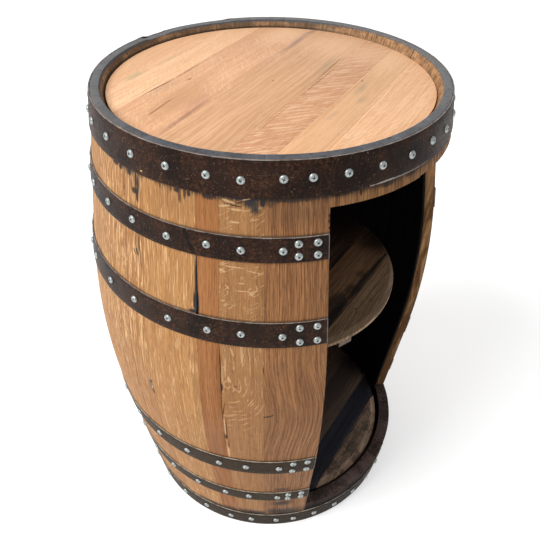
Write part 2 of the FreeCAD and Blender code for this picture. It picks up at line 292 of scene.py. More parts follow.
# ---- oak: one recipe for staves, boards and shelves; grain.x runs across it and grain.y along it
def knotMask(grain, stroke):
    # pale arcs that bend round a knot
    x, y, count, reach = stroke["knot"]
    wall = attribute("wall")
    away = length(stretch(wall, (1, 1.5, 1e4), (x, y, 0), 0, "TEXTURE"))
    wander = times(noise(grain, (26, 18, 5), 1), 9)
    wave = calc("SINE", timesPlus(away, count, wander))
    broken = span(noise(wall, (60, 40, 1), 1), .46, .58)
    mask = times(span(wave, .6, .95), broken)
    # only under the knot and beside it
    mask = times(mask, span(split(wall)[1], y + .002, y + .02, 1, 0))
    return times(mask, span(away, reach * .6, reach, 1, 0)), wave


def strokeMask(grain, stroke):
    if stroke.get("knot"):
        return knotMask(grain, stroke)
    # pale pen strokes, as the rays show on a quarter-sawn face
    turned = stretch(grain, (1, 1, 1), (0, 0, 0), math.radians(stroke.get("turn", 0)))
    value = noise(turned, (*stroke["scale"], 30), 1, .45, stroke.get("wave", .6))
    low, high = stroke.get("cut", (.57, .64))
    if stroke.get("outline"):
        value = awayFrom(value, .5)
        mask = span(value, stroke["outline"] * .4, stroke["outline"], 1, 0)
    else:
        mask = span(value, low, high)
    if stroke.get("gate"):
        gate = noise(grain, (*stroke["gate"], 5), 1)
        mask = times(mask, span(gate, .44, .56))
    if stroke.get("fade"):
        y = split(attribute("wall"))[1]
        mask = times(mask, span(y, *stroke["fade"], stroke.get("faded", .35), 1))
        if stroke.get("top"):
            mask = times(mask, span(y, stroke["top"], stroke["top"] + .02, 1, 0))
    return mask, value


def oak(name, look, marks=(), stain=None):
    beginMaterial(name)
    seed = look.get("seed", 0)
    own = attribute("grain")
    grain = stretch(own, (1, 1, 1), (seed * 1.7, seed * 2.3, seed))
    warp = noise(grain, (9, 3.2, 4), 2)
    sway = (look.get("sway", .02), 0, 0)
    along = newNode("VectorMath", warp, sway, grain, operation="MULTIPLY_ADD").outputs[0]
    if look.get("bulge"):
        # the grain steps aside for a knot in the stave's edge
        level, reach, amount = look["bulge"]
        push = newNode("CombineXYZ", span(awayFrom(split(own)[1], level), 0, reach, -amount, 0))
        along = newNode("VectorMath", along, push.outputs[0]).outputs[0]

    band = span(noise(along, (42, 1.6, 8), 3, .55), .34, .68)
    line = span(noise(along, (look.get("lineScale", 390), 5, 50), 2, .6), .4, .6)
    fine = span(noise(along, (620, 22, 90), 2, .6), .38, .64)
    pore = span(noise(along, (460, 52, 90), 1), .6, .68)
    cloud = noise(grain, (7, 3, 4), 2)
    depth = times(band, look.get("bands", .4))
    depth = timesPlus(line, look.get("lines", .35), depth)
    depth = timesPlus(fine, look.get("fines", .25), depth)
    depth = calc("SUBTRACT", depth, look.get("lift", .1))
    colour = blend(calc("MAXIMUM", calc("MINIMUM", depth, 1), 0), look["pale"], look["dark"])
    relief = timesPlus(line, -.4, times(fine, -.4))
    if look.get("rings"):
        # the arches where a flat-sawn board cuts through the year's rings
        middle, lean, count, strength = look["rings"]
        x, y, z = split(own)
        climb = timesPlus(calc("POWER", awayFrom(x, middle), 1.25), lean, y)
        wander = timesPlus(noise(grain, (16, 5, 4), 2), .16, climb)
        wave = calc("SINE", times(wander, count))
        wave = times(span(wave, 0, .95), span(fine, 0, 1, .6, 1))
        colour = blend(times(wave, strength), colour, look["dark"])
        relief = timesPlus(wave, -.5, relief)
    for stroke in look.get("strokes", ()):
        mask, value = strokeMask(grain, stroke)
        if stroke.get("shade"):
            # painted shade: a darker fringe beside each stroke, as if it stood up a little
            low, high = stroke.get("cut", (.57, .64))
            strokeShade = times(span(value, low - .1, low - .04), span(value, low, high, 1, 0))
            colour = blend(times(strokeShade, stroke["shade"]), colour, look["dark"])
        colour = blend(times(mask, stroke["strength"]), colour,
                       stroke.get("colour", look.get("ray", look["pale"])))
        relief = timesPlus(mask, stroke.get("rise", .6), relief)
    colour = blend(times(pore, look.get("pores", .3)), colour, toned(look["dark"], .5))
    colour = blend(span(cloud, .38, .72, 0, look.get("clouds", .3)), colour,
                   look.get("cloud", look["dark"]))
    if stain:
        colour = stain(colour)
    ragged = noise(grain, (340, 60, 60), 3, .65)
    combed = noise(grain, (640, 26, 60), 3, .7)
    for place, tint, strength, soft in marks:
        # tar has run down the grain; everything else has a broken edge
        mask = spot(attribute("wall"), place, combed if sum(tint) < .07 else ragged, soft)
        colour = blend(times(mask, strength), colour, tint)
    rough = look.get("rough", .58)
    return endMaterial(colour, span(line, 0, 1, rough - .05, rough + .1, "LINEAR"), look.get("gloss", .22),
                       timesPlus(pore, -.5, relief), look.get("relief", .0005))


# ---- the cask's wall
cask = {
    "height": .889, "bilgeHeight": .457, "bilgeRadius": .332, "bendHalf": .18,
    "taper": 8.52, "thickness": .024, "rimLand": .013, "chimeBevel": .019,
    "sill": .08, "header": .819, "headerStep": .0018, "stepBefore": 28,
    "grooveLow": .0357, "grooveHigh": .0423, "groove": .26423, "lidLow": .847, "lidHigh": .853,
    "lidDepth": .0054, "lip": .0006, "round": .0004, "sweepStep": 2.6, "sink": (.00003, .0005),
    "skew": .25, "short": .0012, "shorten": .4, "rimBand": .886, "openDepth": .012,
    "left": [98, 69, 36, 99, 43, 96, 50, 46],
    "back": [72, 89, 63, 86, 73, 68, 94, 80, 57, 83, 72, 87, 59, 79],
    "opening": [64, 64, 64, 58, 57, 58, 64, 54],
}
widths = cask["left"] + cask["back"] + cask["opening"]
firstCut = len(cask["left"] + cask["back"])
halfOpening = 180 * sum(cask["opening"]) / sum(widths)
leftJamb, rightJamb = -90 - halfOpening, -90 + halfOpening
bendRadius = cask["bendHalf"] / math.sin(math.radians(cask["taper"]))


def outerRadius(z):
    away = abs(z - cask["bilgeHeight"])
    lean = math.radians(cask["taper"])
    if away <= cask["bendHalf"]:
        return cask["bilgeRadius"] - bendRadius + math.sqrt(bendRadius ** 2 - away ** 2)
    edge = cask["bilgeRadius"] - bendRadius * (1 - math.cos(lean))
    return edge - (away - cask["bendHalf"]) * math.tan(lean)


def innerRadius(z):
    return outerRadius(z) - cask["thickness"]


def polar(degrees, radius, z):
    a = math.radians(degrees)
    return Vector((radius * math.cos(a), radius * math.sin(a), z))


def bearing(co):
    return math.degrees(math.atan2(co.y, co.x))


def fromAxis(co):
    return math.hypot(co.x, co.y)


def wrapped(degrees):
    # the same direction, from -180 to 180
    return (degrees + 180) % 360 - 180


def staveSpans():
    spans, edge = [], leftJamb
    for width in widths:
        sweep = 360 * width / sum(widths)
        spans.append((edge - sweep, sweep))
        edge -= sweep
    return spans


spans = staveSpans()
barReach = .32   # metres of wall for a radian, in the wall's own measure


def wallPlace(around, z):
    # a place on the wall, from degrees round it clockwise from the left jamb
    return math.radians(around) * barReach, z


def aroundOf(co, near=100):
    return wrapped(leftJamb - bearing(co) - near) + near


def rimDip(around):
    # the rim isn't level all the way round: it is worn low at the back
    lows = ((150.2, 178.2, .0012), (141.2, 150.2, .0028))
    return sum(depth for start, end, depth in lows if start < around <= end)


def wearRim(piece, shorter=0):
    for vert in piece.data.vertices:
        if vert.co.z > cask["rimBand"]:
            vert.co.z -= shorter + rimDip(aroundOf(vert.co))


# ---- materials of the wall
hoopLines = [(.8376, .889), (.7448, .7824), (.6018, .646), (.2571, .304), (.1304, .1666), (0, .05)]


def hoopShadeAndStain(colour):
    # painted shadow: a thin dark line under each hoop's lower edge, which under the top hoop runs on into
    # the iron stain that has come down from it; and a thin dark line just above each hoop's upper edge
    x, y, z = split(attribute("wall"))
    wall = attribute("wall")
    streak = noise(wall, (800, 9, 1), 3, .75)
    patch = span(noise(wall, (17, 2, 1), 1), .4, .62, .3, 1)
    patch = calc("MAXIMUM", patch, span(x, .17, .24, .85, 0))
    for order, (low, high) in enumerate(hoopLines):
        if low:
            # painted shadow under the lower edge, widened by the iron stain under the top hoop
            reach = .0035
            if order == 0:
                reach = times(span(streak, .36, .68, .004, .026), patch)
            below = calc("DIVIDE", calc("SUBTRACT", low, y), reach)
            mask = times(span(below, 0, 1, 1, 0), span(y, low, low + .001, 1, 0))
            colour = blend(times(mask, .85 if order == 0 else .7), colour, (.026, .019, .015))
        if high < cask["height"]:
            # a thin dark line just above the upper edge
            above = span(calc("SUBTRACT", y, high), .0005, .004, 1, 0)
            mask = times(above, span(y, high - .001, high))
            colour = blend(times(mask, .6), colour, (.06, .04, .026))
    return colour


flame = dict(scale=(300, 12), cut=(.53, .6), strength=.95, shade=.8, wave=2.1, fade=(.4, .6))
dashes = dict(scale=(370, 15), cut=(.54, .62), strength=.65, shade=.5, wave=1.6)
ticks = dict(scale=(260, 62), turn=55, cut=(.57, .64), strength=.6, shade=.3, gate=(40, 15),
             fade=(.57, .64), faded=0)
curls = dict(scale=(60, 28), outline=.007, strength=.4, gate=(40, 14), wave=.9, rise=.5, fade=(.57, .64),
             faded=0)
falls = dict(scale=(360, 22), cut=(.56, .62), strength=.62, shade=.3, wave=1.4, fade=(.495, .535), faded=0,
             top=.61)
arcs = dict(knot=(.15, .516, 780, .09), strength=.62)
honey = dict(pale=(.52, .262, .098), dark=(.34, .15, .05), ray=(.78, .47, .225), lines=.35, bands=.25,
             clouds=.25, fines=.3)
staveLooks = [
    dict(pale=(.39, .178, .067), dark=(.15, .058, .021), lines=.65, bands=.12, fines=.4, lift=.22,
         lineScale=560, bulge=(.445, .14, .015), clouds=.3, cloud=(.22, .1, .044), relief=.0008),
    dict(pale=(.45, .225, .086), dark=(.29, .127, .044), ray=(.7, .44, .22), lines=.4,
         strokes=[ticks, curls, falls, arcs]),
    dict(pale=(.415, .172, .056), dark=(.25, .09, .027), lines=.5, bands=.3, fines=.35),
    dict(honey, pale=(.56, .278, .096), strokes=[dashes]),
    dict(honey, pale=(.43, .2, .067), strokes=[flame]),
    dict(honey, pale=(.51, .242, .078), strokes=[flame, dict(flame, scale=(170, 20), strength=.4)]),
    dict(honey, pale=(.46, .228, .086), strokes=[dashes]),
    dict(honey, pale=(.43, .208, .08), strokes=[dashes, flame]),
]
otherLooks = [
    dict(honey, pale=(.5, .252, .1), strokes=[dashes]),
    dict(pale=(.43, .195, .073), dark=(.2, .08, .028), lines=.7, bands=.3),
    dict(honey, pale=(.53, .272, .107), strokes=[flame]),
    dict(pale=(.45, .22, .085), dark=(.22, .095, .034), rings=(0, 9, 330, .6), lines=.5),
    dict(honey, pale=(.46, .23, .092), strokes=[ticks, dashes]),
]


def endGrain(name):
    # stave ends: weathered to blue-grey, scuffed paler here and there
    beginMaterial(name)
    place = objectPlace()
    x, y, z = split(place)
    cloud = noise(place, 38, 4, .6)
    fine = noise(place, 420, 3, .65)
    colour = blend(span(cloud, .3, .7), (.05, .054, .064), (.115, .12, .135))
    worn = times(span(fine, .46, .66), span(x, -.2, .26, .25, .95))
    colour = blend(worn, colour, (.27, .255, .25))
    # paler towards the back of the rim and darker at its front
    front = timesPlus(x, -.84, times(y, -.54))
    colour = blend(span(front, .05, .28, .45, 0), colour, (.22, .212, .205))
    colour = blend(span(front, .2, .31, 0, .3), colour, (.055, .058, .07))
    colour = blend(span(noise(place, 150, 2), .64, .72, 0, .6), colour, (.015, .014, .014))
    return endMaterial(colour, span(fine, .3, .7, .55, .8), .3, fine, .0008)


def chimeWood(name):
    # the bevel inside the rim: bare oak, grey at its upper edge, darker at the left and back with old damp
    # and painted shade, and with a painted shadow along its foot on the left
    beginMaterial(name)
    place = objectPlace()
    x, y, z = split(place)
    cloud = noise(place, (48, 48, 90), 4, .7)
    fine = noise(place, 330, 3, .7)
    colour = blend(span(cloud, .36, .64), (.56, .31, .145), (.28, .155, .078))
    colour = blend(span(fine, .45, .65, 0, .45), colour, (.11, .06, .03))
    # painted shade on the left and back, mottled as old damp
    left = span(timesPlus(x, -.25, y), -.14, .06)
    dampAndShade = times(span(noise(place, 26, 3, .7), .36, .58, .45, 1), left)
    colour = blend(times(dampAndShade, .66), colour, (.062, .047, .032))
    streak = noise(attribute("wall"), (300, 24, 24), 2, .7)
    colour = blend(times(span(streak, .5, .68), .65), colour, (.05, .034, .022))
    x, y = wallPlace(262.2, .88)
    splitMask = spot(attribute("wall"), (x, y, .0016, .03, 0), fine)
    colour = blend(times(splitMask, .85), colour, (.045, .025, .015))
    ragged = timesPlus(fine, .006, z)
    edge = timesPlus(left, .003, ragged)
    colour = blend(span(edge, .889, .8925), colour, (.085, .085, .09))
    # painted shadow at the foot of the bevel, on the left, next to the top
    footShadow = times(span(ragged, .8795, .8825, .8, 0), left)
    colour = blend(footShadow, colour, (.03, .02, .014))
    return endMaterial(colour, span(fine, .3, .7, .55, .75), .2, fine, .0006)


def blackPaint(name):
    # charred inside, painted flat black
    beginMaterial(name)
    place = objectPlace()
    rough = noise(place, (60, 60, 26), 4, .6)
    colour = blend(span(rough, .35, .75), (.0025, .0025, .0027), (.006, .0055, .005))
    return endMaterial(colour, span(rough, .3, .7, .75, .9), .08, rough, .0012)


def charEdge(colour):
    # on a sawn jamb the inner few millimetres are char, with a whiskey-brown line next to it
    z = split(attribute("wall"))[2]
    ragged = noise(attribute("wall"), (1, 160, 500), 2)
    inward = timesPlus(ragged, .0022, z)
    colour = blend(span(inward, .0145, .0205, 0, .55), colour, (.085, .038, .018))
    colour = blend(span(inward, .0204, .0212), colour, (.006, .005, .005))
    rim = span(z, .0004, .003, .75, 0)
    return blend(rim, colour, (.07, .04, .022))


def darkAtFoot(colour):
    # the sill's face under the opening is nearly black at its foot
    y = split(attribute("wall"))[1]
    return blend(span(y, .055, .079, .9, .6), colour, (.01, .009, .008))


def mottle(colour):
    # old damp and spills have left these faces patchy
    place = objectPlace()
    patch = span(noise(place, 34, 4, .75), .46, .6, 0, .62)
    colour = blend(patch, colour, (.022, .018, .015))
    crumb = span(noise(place, 190, 4, .75), .54, .66, 0, .5)
    return blend(crumb, colour, (.25, .18, .13))


jambLook = dict(pale=(.46, .252, .113), dark=(.125, .06, .025), lines=.85, bands=.4, clouds=.4, rough=.7,
                seed=5.2, gloss=.06)
sillLook = dict(pale=(.17, .112, .098), dark=(.06, .039, .035), lines=.2, bands=.35, fines=.5, clouds=1,
                cloud=(.02, .014, .012), rough=.7, seed=8.4, gloss=.05)
headerLook = dict(pale=(.41, .205, .085), dark=(.17, .076, .029), lines=.7, bands=.4, clouds=.3,
                  relief=.0008, gloss=.1)
jointLook = dict(pale=(.035, .02, .012), dark=(.012, .008, .006), clouds=.5, gloss=.05)
gapLook = dict(pale=(.17, .17, .19), dark=(.07, .07, .08), clouds=.5, gloss=.2)

chimeOak = chimeWood("chimeOak")
jambOak, jointOak = oak("sawnOak", jambLook, stain=charEdge), oak("jointOak", jointLook)
gapGrey = oak("gapGrey", gapLook)
sillFront = oak("sillFront", dict(sillLook, seed=2.6), stain=darkAtFoot)
rimEnd, insidePaint = endGrain("weatheredEnd"), blackPaint("insidePaint")


tar, tarBlue, black = (.016, .013, .012), (.02, .02, .024), (.005, .0045, .004)
crack, chip, ray = (.05, .02, .009), (.66, .38, .19), (.74, .48, .25)
usual = {ray: .6, tarBlue: .95, crack: .95, chip: .8}


def wallMarks(*rows):
    # a row is degrees round the wall, height, half width, half height in mm, and the tilt seen from
    # outside; then the colour, its strength and the softness of its edge
    marks = []
    for around, z, wide, tall, *rest in rows:
        tilt, tint = rest[:2] + [0, tar][len(rest):]
        strength, soft = rest[2:] + [usual.get(tint, .9), 0][len(rest[2:]):]
        place = (*wallPlace(around, z / 1000), wide / 1000, tall / 1000, -tilt)
        marks.append((place, tint, strength, soft))
    return marks


sillOak = oak("sillOak", sillLook, stain=mottle, marks=wallMarks(
    (-7, 80, 36, 60, 0, tar, .6, 1), (-24, 80, 34, 60, 0, (.19, .145, .13), .3, 1),
    (-13.5, 80, 1, 60, 0, tar, .8), (-31, 80, 1, 60, 0, tar, .7)))
staveMarks = {
    1: wallMarks(
        (15.8, 446, 8.5, 2.6, .3, (.05, .022, .012)), (14.7, 449, 4.5, 2, .75, (.05, .022, .012)),
        (9, 836, 50, 6, 0, tar, .8), (15.4, 833, 10, 10, 0, tar, .6),
        (8.6, 815, 60, 26, 0, (.1, .05, .024), .45, 1), (10.8, 178, 20, 9.5, 0, tar, .75, .6),
        (10.2, 109, 26, 15, .05, tar, .9, .7), (8, 60, 60, 24, 0, tar, .9, .6),
        (13.2, 70, 16, 20, 0, tar, .6, .8), (11.9, 90, 1.2, 34, 0, tar, .85),
        (12.8, 85, 1, 28, 0, tar, .6), (8, 85, 1.2, 26, 0, tar, .6), (12.6, 560, 10, 20, 0, tar, .25, .8),
        (16.5, 105, 1.2, 22, 0, tar, .7), (.25, 800, 1.6, 4), (.2, 790, 1.4, 2.5), (.2, 808, 1.8, 3)),
    2: wallMarks(
        (20.6, 830, 15, 8, .1, tarBlue, .95, .5), (19.3, 821.5, 9, 10, .2, tarBlue, .95, .9),
        (17.5, 831, 4.5, 8, 0, tarBlue), (22, 836.5, 34, 4.5, 0, tarBlue), (25.2, 825.5, 16.5, 1.2, -.12),
        (23.2, 830, 9, 1.1, .3), (28, 833.5, 6, 4, .2, tar, .6), (27.2, 823.5, 11, 1.7, .22, ray),
        (24.3, 819.5, 13, 1.9, -.04, ray), (26.4, 830.5, 12, 2, -.2, ray), (21.8, 834.5, 7, 1.2, .2, ray),
        (24.6, 801.5, 8.5, 1.7, 0, ray), (25, 734, 20, 1.1, -.04, ray), (27.9, 726.5, 6, 2, -.33, ray),
        (22.8, 709, 6.5, 1.2, 0, ray), (22.6, 696.5, 13, 1.1, .02, ray), (20.4, 693, 5.5, 1.2, -.8, ray),
        (19.8, 728.5, 12, 1, -.2, ray), (18.9, 703, 1.2, 6.5, .2, ray), (26.6, 701, 6, 1.1, -.75, ray),
        (16.95, 555, 1.6, 8), (24.6, 515.5, 2.2, 1.7), (22, 56, 55, 17, 0, tar, .95, .6),
        (26.4, 528, 3, 7.5, .2, ray), (24.6, 507, 9, 1.1, -.6, ray), (25.4, 586, 1.4, 11, .3, ray),
        (20.6, 480, 1, 14, -.5, ray), (25.6, 444, 11, 1.1, .25, ray), (26, 430, 11, 1, .35, ray),
        (28.8, 558, 1.1, 26, 0, crack), (28.72, 508, 3, 12, 0, tarBlue),
        (28.45, 450, 1.2, 22, -.1, crack), (28, 405, 1.3, 36, 0, crack), (28.25, 375, 3.4, 8.5, 0, crack),
        (27.75, 352, 1.2, 22, -.06, crack), (28.48, 408, 1.4, 26, 0, chip), (28.15, 325, 2.6, 26, 0, chip)),
    3: wallMarks(
        (34.75, 664, 2.6, 22, .02, tarBlue), (34.95, 705, 1.2, 32, 0, tarBlue),
        (31.5, 834, 14, 5.5, 0, tar, .85), (31.8, 340, 14, 70, 0, (.17, .085, .045), .3, .8),
        (31, 54, 36, 15, 0, tar, .9, .7)),
    4: wallMarks(
        (36.2, 649, 8.5, 3.6, 0, tarBlue), (35.7, 666, 2.8, 22, .02, tarBlue),
        (35.42, 705, 1.3, 36, 0, tarBlue), (39.8, 827, 3.4, 14.5, .1), (38.2, 830.5, 2.6, 11),
        (42.4, 833, 2, 6.5), (46, 833.5, 1.8, 7), (43, 815, 50, 30, 0, (.3, .135, .045), .45, 1),
        (37, 832, 4, 5.5), (40.7, 833, 6, 4.5), (52.8, 828, 2.6, 18), (52.7, 712, 1.2, 30, 0, tar, .7),
        (40, 53, 52, 13, 0, tar, .85, .7), (34.9, 85, 1.2, 34),
        (42, 350, 2.2, 10, -.2, (.22, .1, .04), .4), (36.4, 505, 6, 15, 0, (.3, .17, .07), .4, .5)),
    5: wallMarks(
        (53.2, 437, 8.5, 21, .22, (.23, .15, .085), .8, .4), (52.5, 428, 2.2, 9, -.15, (.06, .03, .02)),
        (52.9, 452, 3.2, 6, -.6, (.09, .055, .035)), (52.95, 437.5, 2, 3, 0, (.7, .62, .52)),
        (58.9, 430, 5.5, 60, 0, (.3, .145, .055), .4, .8), (55.6, 808.5, 7, 6, .3),
        (54.5, 804, 2.8, 14, .1), (54, 818, 2.6, 20), (54.9, 825, 3.2, 15), (57.6, 832.5, 6, 6),
        (56.8, 815, 3, 10, 0, tar, .5), (54.1, 727, 1.8, 22, 0, tar, .8), (55, 712, 2.4, 8.5, .4),
        (53.5, 703, 1.4, 18), (56, 710, 1.6, 6, .5), (55.5, 728, 1.6, 12, 0, tar, .6)),
    6: wallMarks((60.2, 806, 1.6, 30, 0, tar, .6), (61.4, 833, 5, 5.5), (64, 834.5, 10, 4.5)),
    30: wallMarks((-8.6, 833, 2.2, 7), (-3, 835, 20, 3, 0, tar, .6)),
    29: wallMarks((-17.2, 833.5, 20, 5.5, 0, tar, .75, .3), (-8.6, 833, 2.2, 7)),
    28: wallMarks(
        (-26, 834, 18, 5, 0, tar, .7, .3), (-19.3, 830, 6, 6.5, 0, tar, .7),
        (-21.2, 828, 1, 12, 0, tar, .8)),
}

# how far a stave's edge has drawn back, at each height: the left side of 3 and so on
openJoints = {
    3: ("left", [(.602, 0), (.615, .0014), (.63, .0022), (.646, .0026), (.665, .0023), (.685, .0019),
        (.705, .0014), (.725, .001), (.744, .0007), (.7824, .0004), (.8376, .0003), (.8464, .0002)]),
    4: ("right", [(.602, 0), (.615, .001), (.63, .0017), (.646, .002), (.665, .0016), (.685, .0012),
        (.705, .0009), (.725, .0006), (.744, .0004)]),
    2: ("left", [(.597, .0002), (.577, .0007), (.557, .0012), (.537, .0009), (.517, .0014), (.497, .0012),
        (.477, .0004), (.457, .0006), (.437, .0003), (.377, .0006), (.357, .0005)]),
}


def profileRows():
    # heights and inner radii up the wall
    rows = [(0, outerRadius(0) - cask["rimLand"]), (cask["chimeBevel"], None),
            (cask["grooveLow"] - .0005, None), (cask["grooveLow"], cask["groove"]),
            (cask["grooveHigh"], cask["groove"]), (cask["grooveHigh"] + .0005, None)]
    heights = [.06, .08, .105, .13, .165, .2, .23, .2571]
    heights += [.277 + .02 * i for i in range(17)]
    heights += [.615, .63, .646, .665, .685, .705, .725, .744, .7824, .8, .819, .8376]
    rows += [(z, None) for z in heights]
    lid = innerRadius((cask["lidLow"] + cask["lidHigh"]) / 2) + cask["lidDepth"]
    rows += [(cask["lidLow"] - cask["lip"], None), (cask["lidLow"], lid), (cask["lidHigh"], lid),
             (cask["lidHigh"] + cask["lip"], None), (cask["height"] - cask["chimeBevel"], None),
             (cask["height"], outerRadius(cask["height"]) - cask["rimLand"])]
    return [(z, innerRadius(z) if inner is None else inner) for z, inner in rows]


def makeProfile():
    # a strip up the wall's section, extruded row by row
    rows = profileRows()
    z, inner = rows[0]
    bpy.ops.mesh.primitive_plane_add(size=1, location=(0, 0, 0))
    profile = started("wallSection")
    openEdit(profile)
    choose(profile, lambda v: v.co.y > 0)
    bpy.ops.mesh.delete(type="VERT")
    for side, x in ((1, outerRadius(z)), (-1, inner)):
        choose(profile, lambda v: v.co.x * side > 0 and abs(v.co.y) > .1)
        slide(x - .5 * side, .5, z)
    for nextZ, nextInner in rows[1:]:
        choose(profile, lambda v: abs(v.co.z - z) < 1e-6)
        rise = outerRadius(nextZ) - outerRadius(z)
        extrude(nextZ - z, rise)
        middle = outerRadius(nextZ) - .01
        choose(profile, lambda v: abs(v.co.z - nextZ) < 1e-6 and v.co.x < middle)
        slide(nextInner - inner - rise)
        z, inner = nextZ, nextInner
    closeEdit()
    return profile


def sweepSection(profile, name, start, sweep):
    # spins a copy of the section about the axis, from one direction through an angle
    piece = duplicate(profile, name)
    openEdit(piece)
    spinRound(sweep, max(2, math.ceil(sweep / cask["sweepStep"])))
    turnFacesOut()
    closeEdit()
    turnAbout(piece, start)
    return piece


def drawBack(piece, number, start, sweep):
    side, table = openJoints[number]
    edge = start if side == "left" else start + sweep
    inward = 1 if side == "left" else -1
    a = math.radians(edge)
    openEdit(piece)
    for z, gap in table:
        # only the outer side, so that no light gets through
        inside = outerRadius(z) - cask["openDepth"]
        choose(piece, lambda v: abs(v.co.z - z) < .0012 and fromAxis(v.co) > inside
               and abs(bearing(v.co) % 360 - edge % 360) < .05)
        slide(-math.sin(a) * gap * inward, math.cos(a) * gap * inward)
    closeEdit()


def cutAway(piece, z, keep):
    openEdit(piece)
    bisectAt((0, 0, z), (0, 0, 1), keep == "above", keep == "below")
    closeEdit()


def faceOfStave(number):
    # 0 outside, 1 end, 2 chime, 3 inside, 4 sawn edge, 5 sill, 6 joint, 7 under the opening
    cut = number > firstCut
    jamb = {1: leftJamb, firstCut: rightJamb}.get(number)

    def rule(centre, normal):
        out = Vector((centre.x, centre.y, 0)).normalized()
        radial = normal.dot(out)
        if abs(normal.z) > .7 and (centre.z > cask["height"] - .006 or centre.z < .0012):
            return 1
        if radial < 0 and centre.z > cask["height"] - cask["chimeBevel"] - .001:
            return 2
        if cut and centre.z < cask["sill"] + .001:
            if normal.z > .5:
                return 5
            if radial > .5:
                return 7
        if radial > .5:
            return 0
        if radial < -.5:
            return 3
        if cut and normal.z < -.5:
            return 4
        away = wrapped(bearing(centre) - (jamb or 0))
        return 4 if jamb is not None and abs(away) < .5 else 6
    return rule


def makeStaves():
    profile = makeProfile()
    for number, (start, sweep) in enumerate(spans, 1):
        name = "stave%02d" % number
        cut = number > firstCut
        piece = sweepSection(profile, name, start, sweep)
        if number in openJoints:
            drawBack(piece, number, start, sweep)
        if cut:
            lower = duplicate(piece, name + "Lower")
            cutAway(lower, cask["sill"], "below")
            cutAway(piece, cask["header"] + cask["headerStep"] * (number < cask["stepBefore"]), "above")
            piece = joinAll([piece, lower], name)
        roundEdges(piece, cask["round"])
        middle = start + sweep / 2
        # each stave sits a hair further in or out and a little askew
        sink, skew = random.uniform(*cask["sink"]), random.uniform(-cask["skew"], cask["skew"])
        out, side = polar(middle, 1, 0), polar(middle + 90, 1, 0)
        wearRim(piece, random.uniform(0, cask["short"]) * cask["shorten"])
        for vert in piece.data.vertices:
            vert.co += out * (math.sin(math.radians(skew)) * vert.co.dot(side) - sink)

        def grainAt(co):
            off = math.radians(wrapped(bearing(co) - middle))
            return (off * fromAxis(co), co.z, fromAxis(co) + number * .37)
        paintGrain(piece, grainAt)
        near = aroundOf(polar(middle, 1, 0))

        def wallDepth(co):
            # degrees round, height, and how far in from the wall's outer face
            return (*wallPlace(aroundOf(co, near), co.z), outerRadius(co.z) - fromAxis(co))
        paintGrain(piece, wallDepth, "wall")
        look = staveLooks[number - 1] if number <= len(staveLooks) else otherLooks[number % len(otherLooks)]
        if cut:
            look = headerLook
        look = dict(look, seed=number * .77)
        outside = oak("staveOak%02d" % number, look, staveMarks.get(number, ()), hoopShadeAndStain)
        sortFaces(piece, [outside, rimEnd, chimeOak, insidePaint, jambOak, sillOak,
                          gapGrey if number == 4 else jointOak, sillFront],
                  faceOfStave(number))
        smooth(piece)
        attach(piece, "cask")
        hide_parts("stave_%02d" % number)
    remove(profile)


makeStaves()
print("staves done")


# ---- hoops
hoopRecipe = {
    "thick": .002, "seat": .0003, "lap": .056, "rawEnd": .0008, "trim": .0002, "round": .0004,
    "dent": .0005, "step": 2.5, "rows": 4,
    # node, low and high edge, whether the opening cuts it, and where its lap is
    "bands": [
        ("top_chime_hoop", *hoopLines[0], False, 84), ("upper_quarter_hoop", *hoopLines[1], True, 82),
        ("upper_bilge_hoop", *hoopLines[2], True, 97), ("lower_bilge_hoop", *hoopLines[3], True, 71),
        ("lower_quarter_hoop", *hoopLines[4], True, 104), ("bottom_chime_hoop", *hoopLines[5], False, 88),
    ],
    # how grey and how rusty
    "tones": [(0, .9), (0, .9), (.05, .9), (.62, .3), (.7, .2), (.48, .4)],
}


def hoopSeat(low, high):
    return hoopRecipe["seat"] + outerRadius((low + high) / 2) - (outerRadius(low) + outerRadius(high)) / 2


def strapSteel(name, grey, rust, cut, marks=()):
    # black strap steel: mill scale, rust that shows through it, and dusty scuffs
    beginMaterial(name)
    band = attribute("grain")
    place = objectPlace()
    x = split(attribute("wall"))[0]
    cloud = noise(place, 14, 4, .6)
    grit = noise(place, 260, 4, .75)
    colour = blend(span(cloud, .3, .7), (.008, .004, .003), (.024, .0115, .0078))
    colour = blend(grey, colour, (.05, .037, .021))
    bloom = times(span(noise(place, 26, 4, .75), .4, .62), span(grit, .42, .6))
    colour = blend(times(bloom, rust), colour, (.066, .027, .013))
    # painted light: the grit shows paler on the side of the hoops that faces the light
    light = span(x, .2, .36, .3, .75)
    colour = blend(times(span(grit, .55, .7), light), colour, (.105, .062, .042))
    speck = span(noise(place, 380, 1), .69, .74)
    colour = blend(times(speck, .45), colour, (.27, .19, .14))
    drag = noise(band, (26, 600, 20), 2)
    scuff = times(span(drag, .64, .76), span(cloud, .46, .66))
    colour = blend(times(scuff, .45), colour, (.14, .115, .1))
    ragged = noise(place, 160, 2)
    for spotPlace, tint, strength, soft in marks:
        mask = spot(attribute("wall"), spotPlace, ragged, soft)
        colour = blend(times(mask, strength), colour, tint)
    # the sawn ends are worn bright
    far = awayFrom(x, wallPlace(360 - 2 * halfOpening, 0)[0])
    ends = timesPlus(ragged, .0012, calc("MINIMUM", calc("ABSOLUTE", x), far))
    if cut:
        colour = blend(span(ends, .0021, .003, .75, 0), colour, (.3, .285, .27))
    relief = timesPlus(cloud, 2, times(grit, .5))
    return endMaterial(colour, span(grit, .3, .7, .34, .6), .03 if grey > .1 else .09, relief, .0008)


def bareSteel(name, base, rough):
    beginMaterial(name)
    place = objectPlace()
    tarnish = noise(place, 90, 3, .6)
    colour = blend(span(tarnish, .35, .7), base, toned(base, .35))
    return endMaterial(colour, span(tarnish, .3, .7, rough, rough + .2), .4, noise(place, 500, 2), .0002)


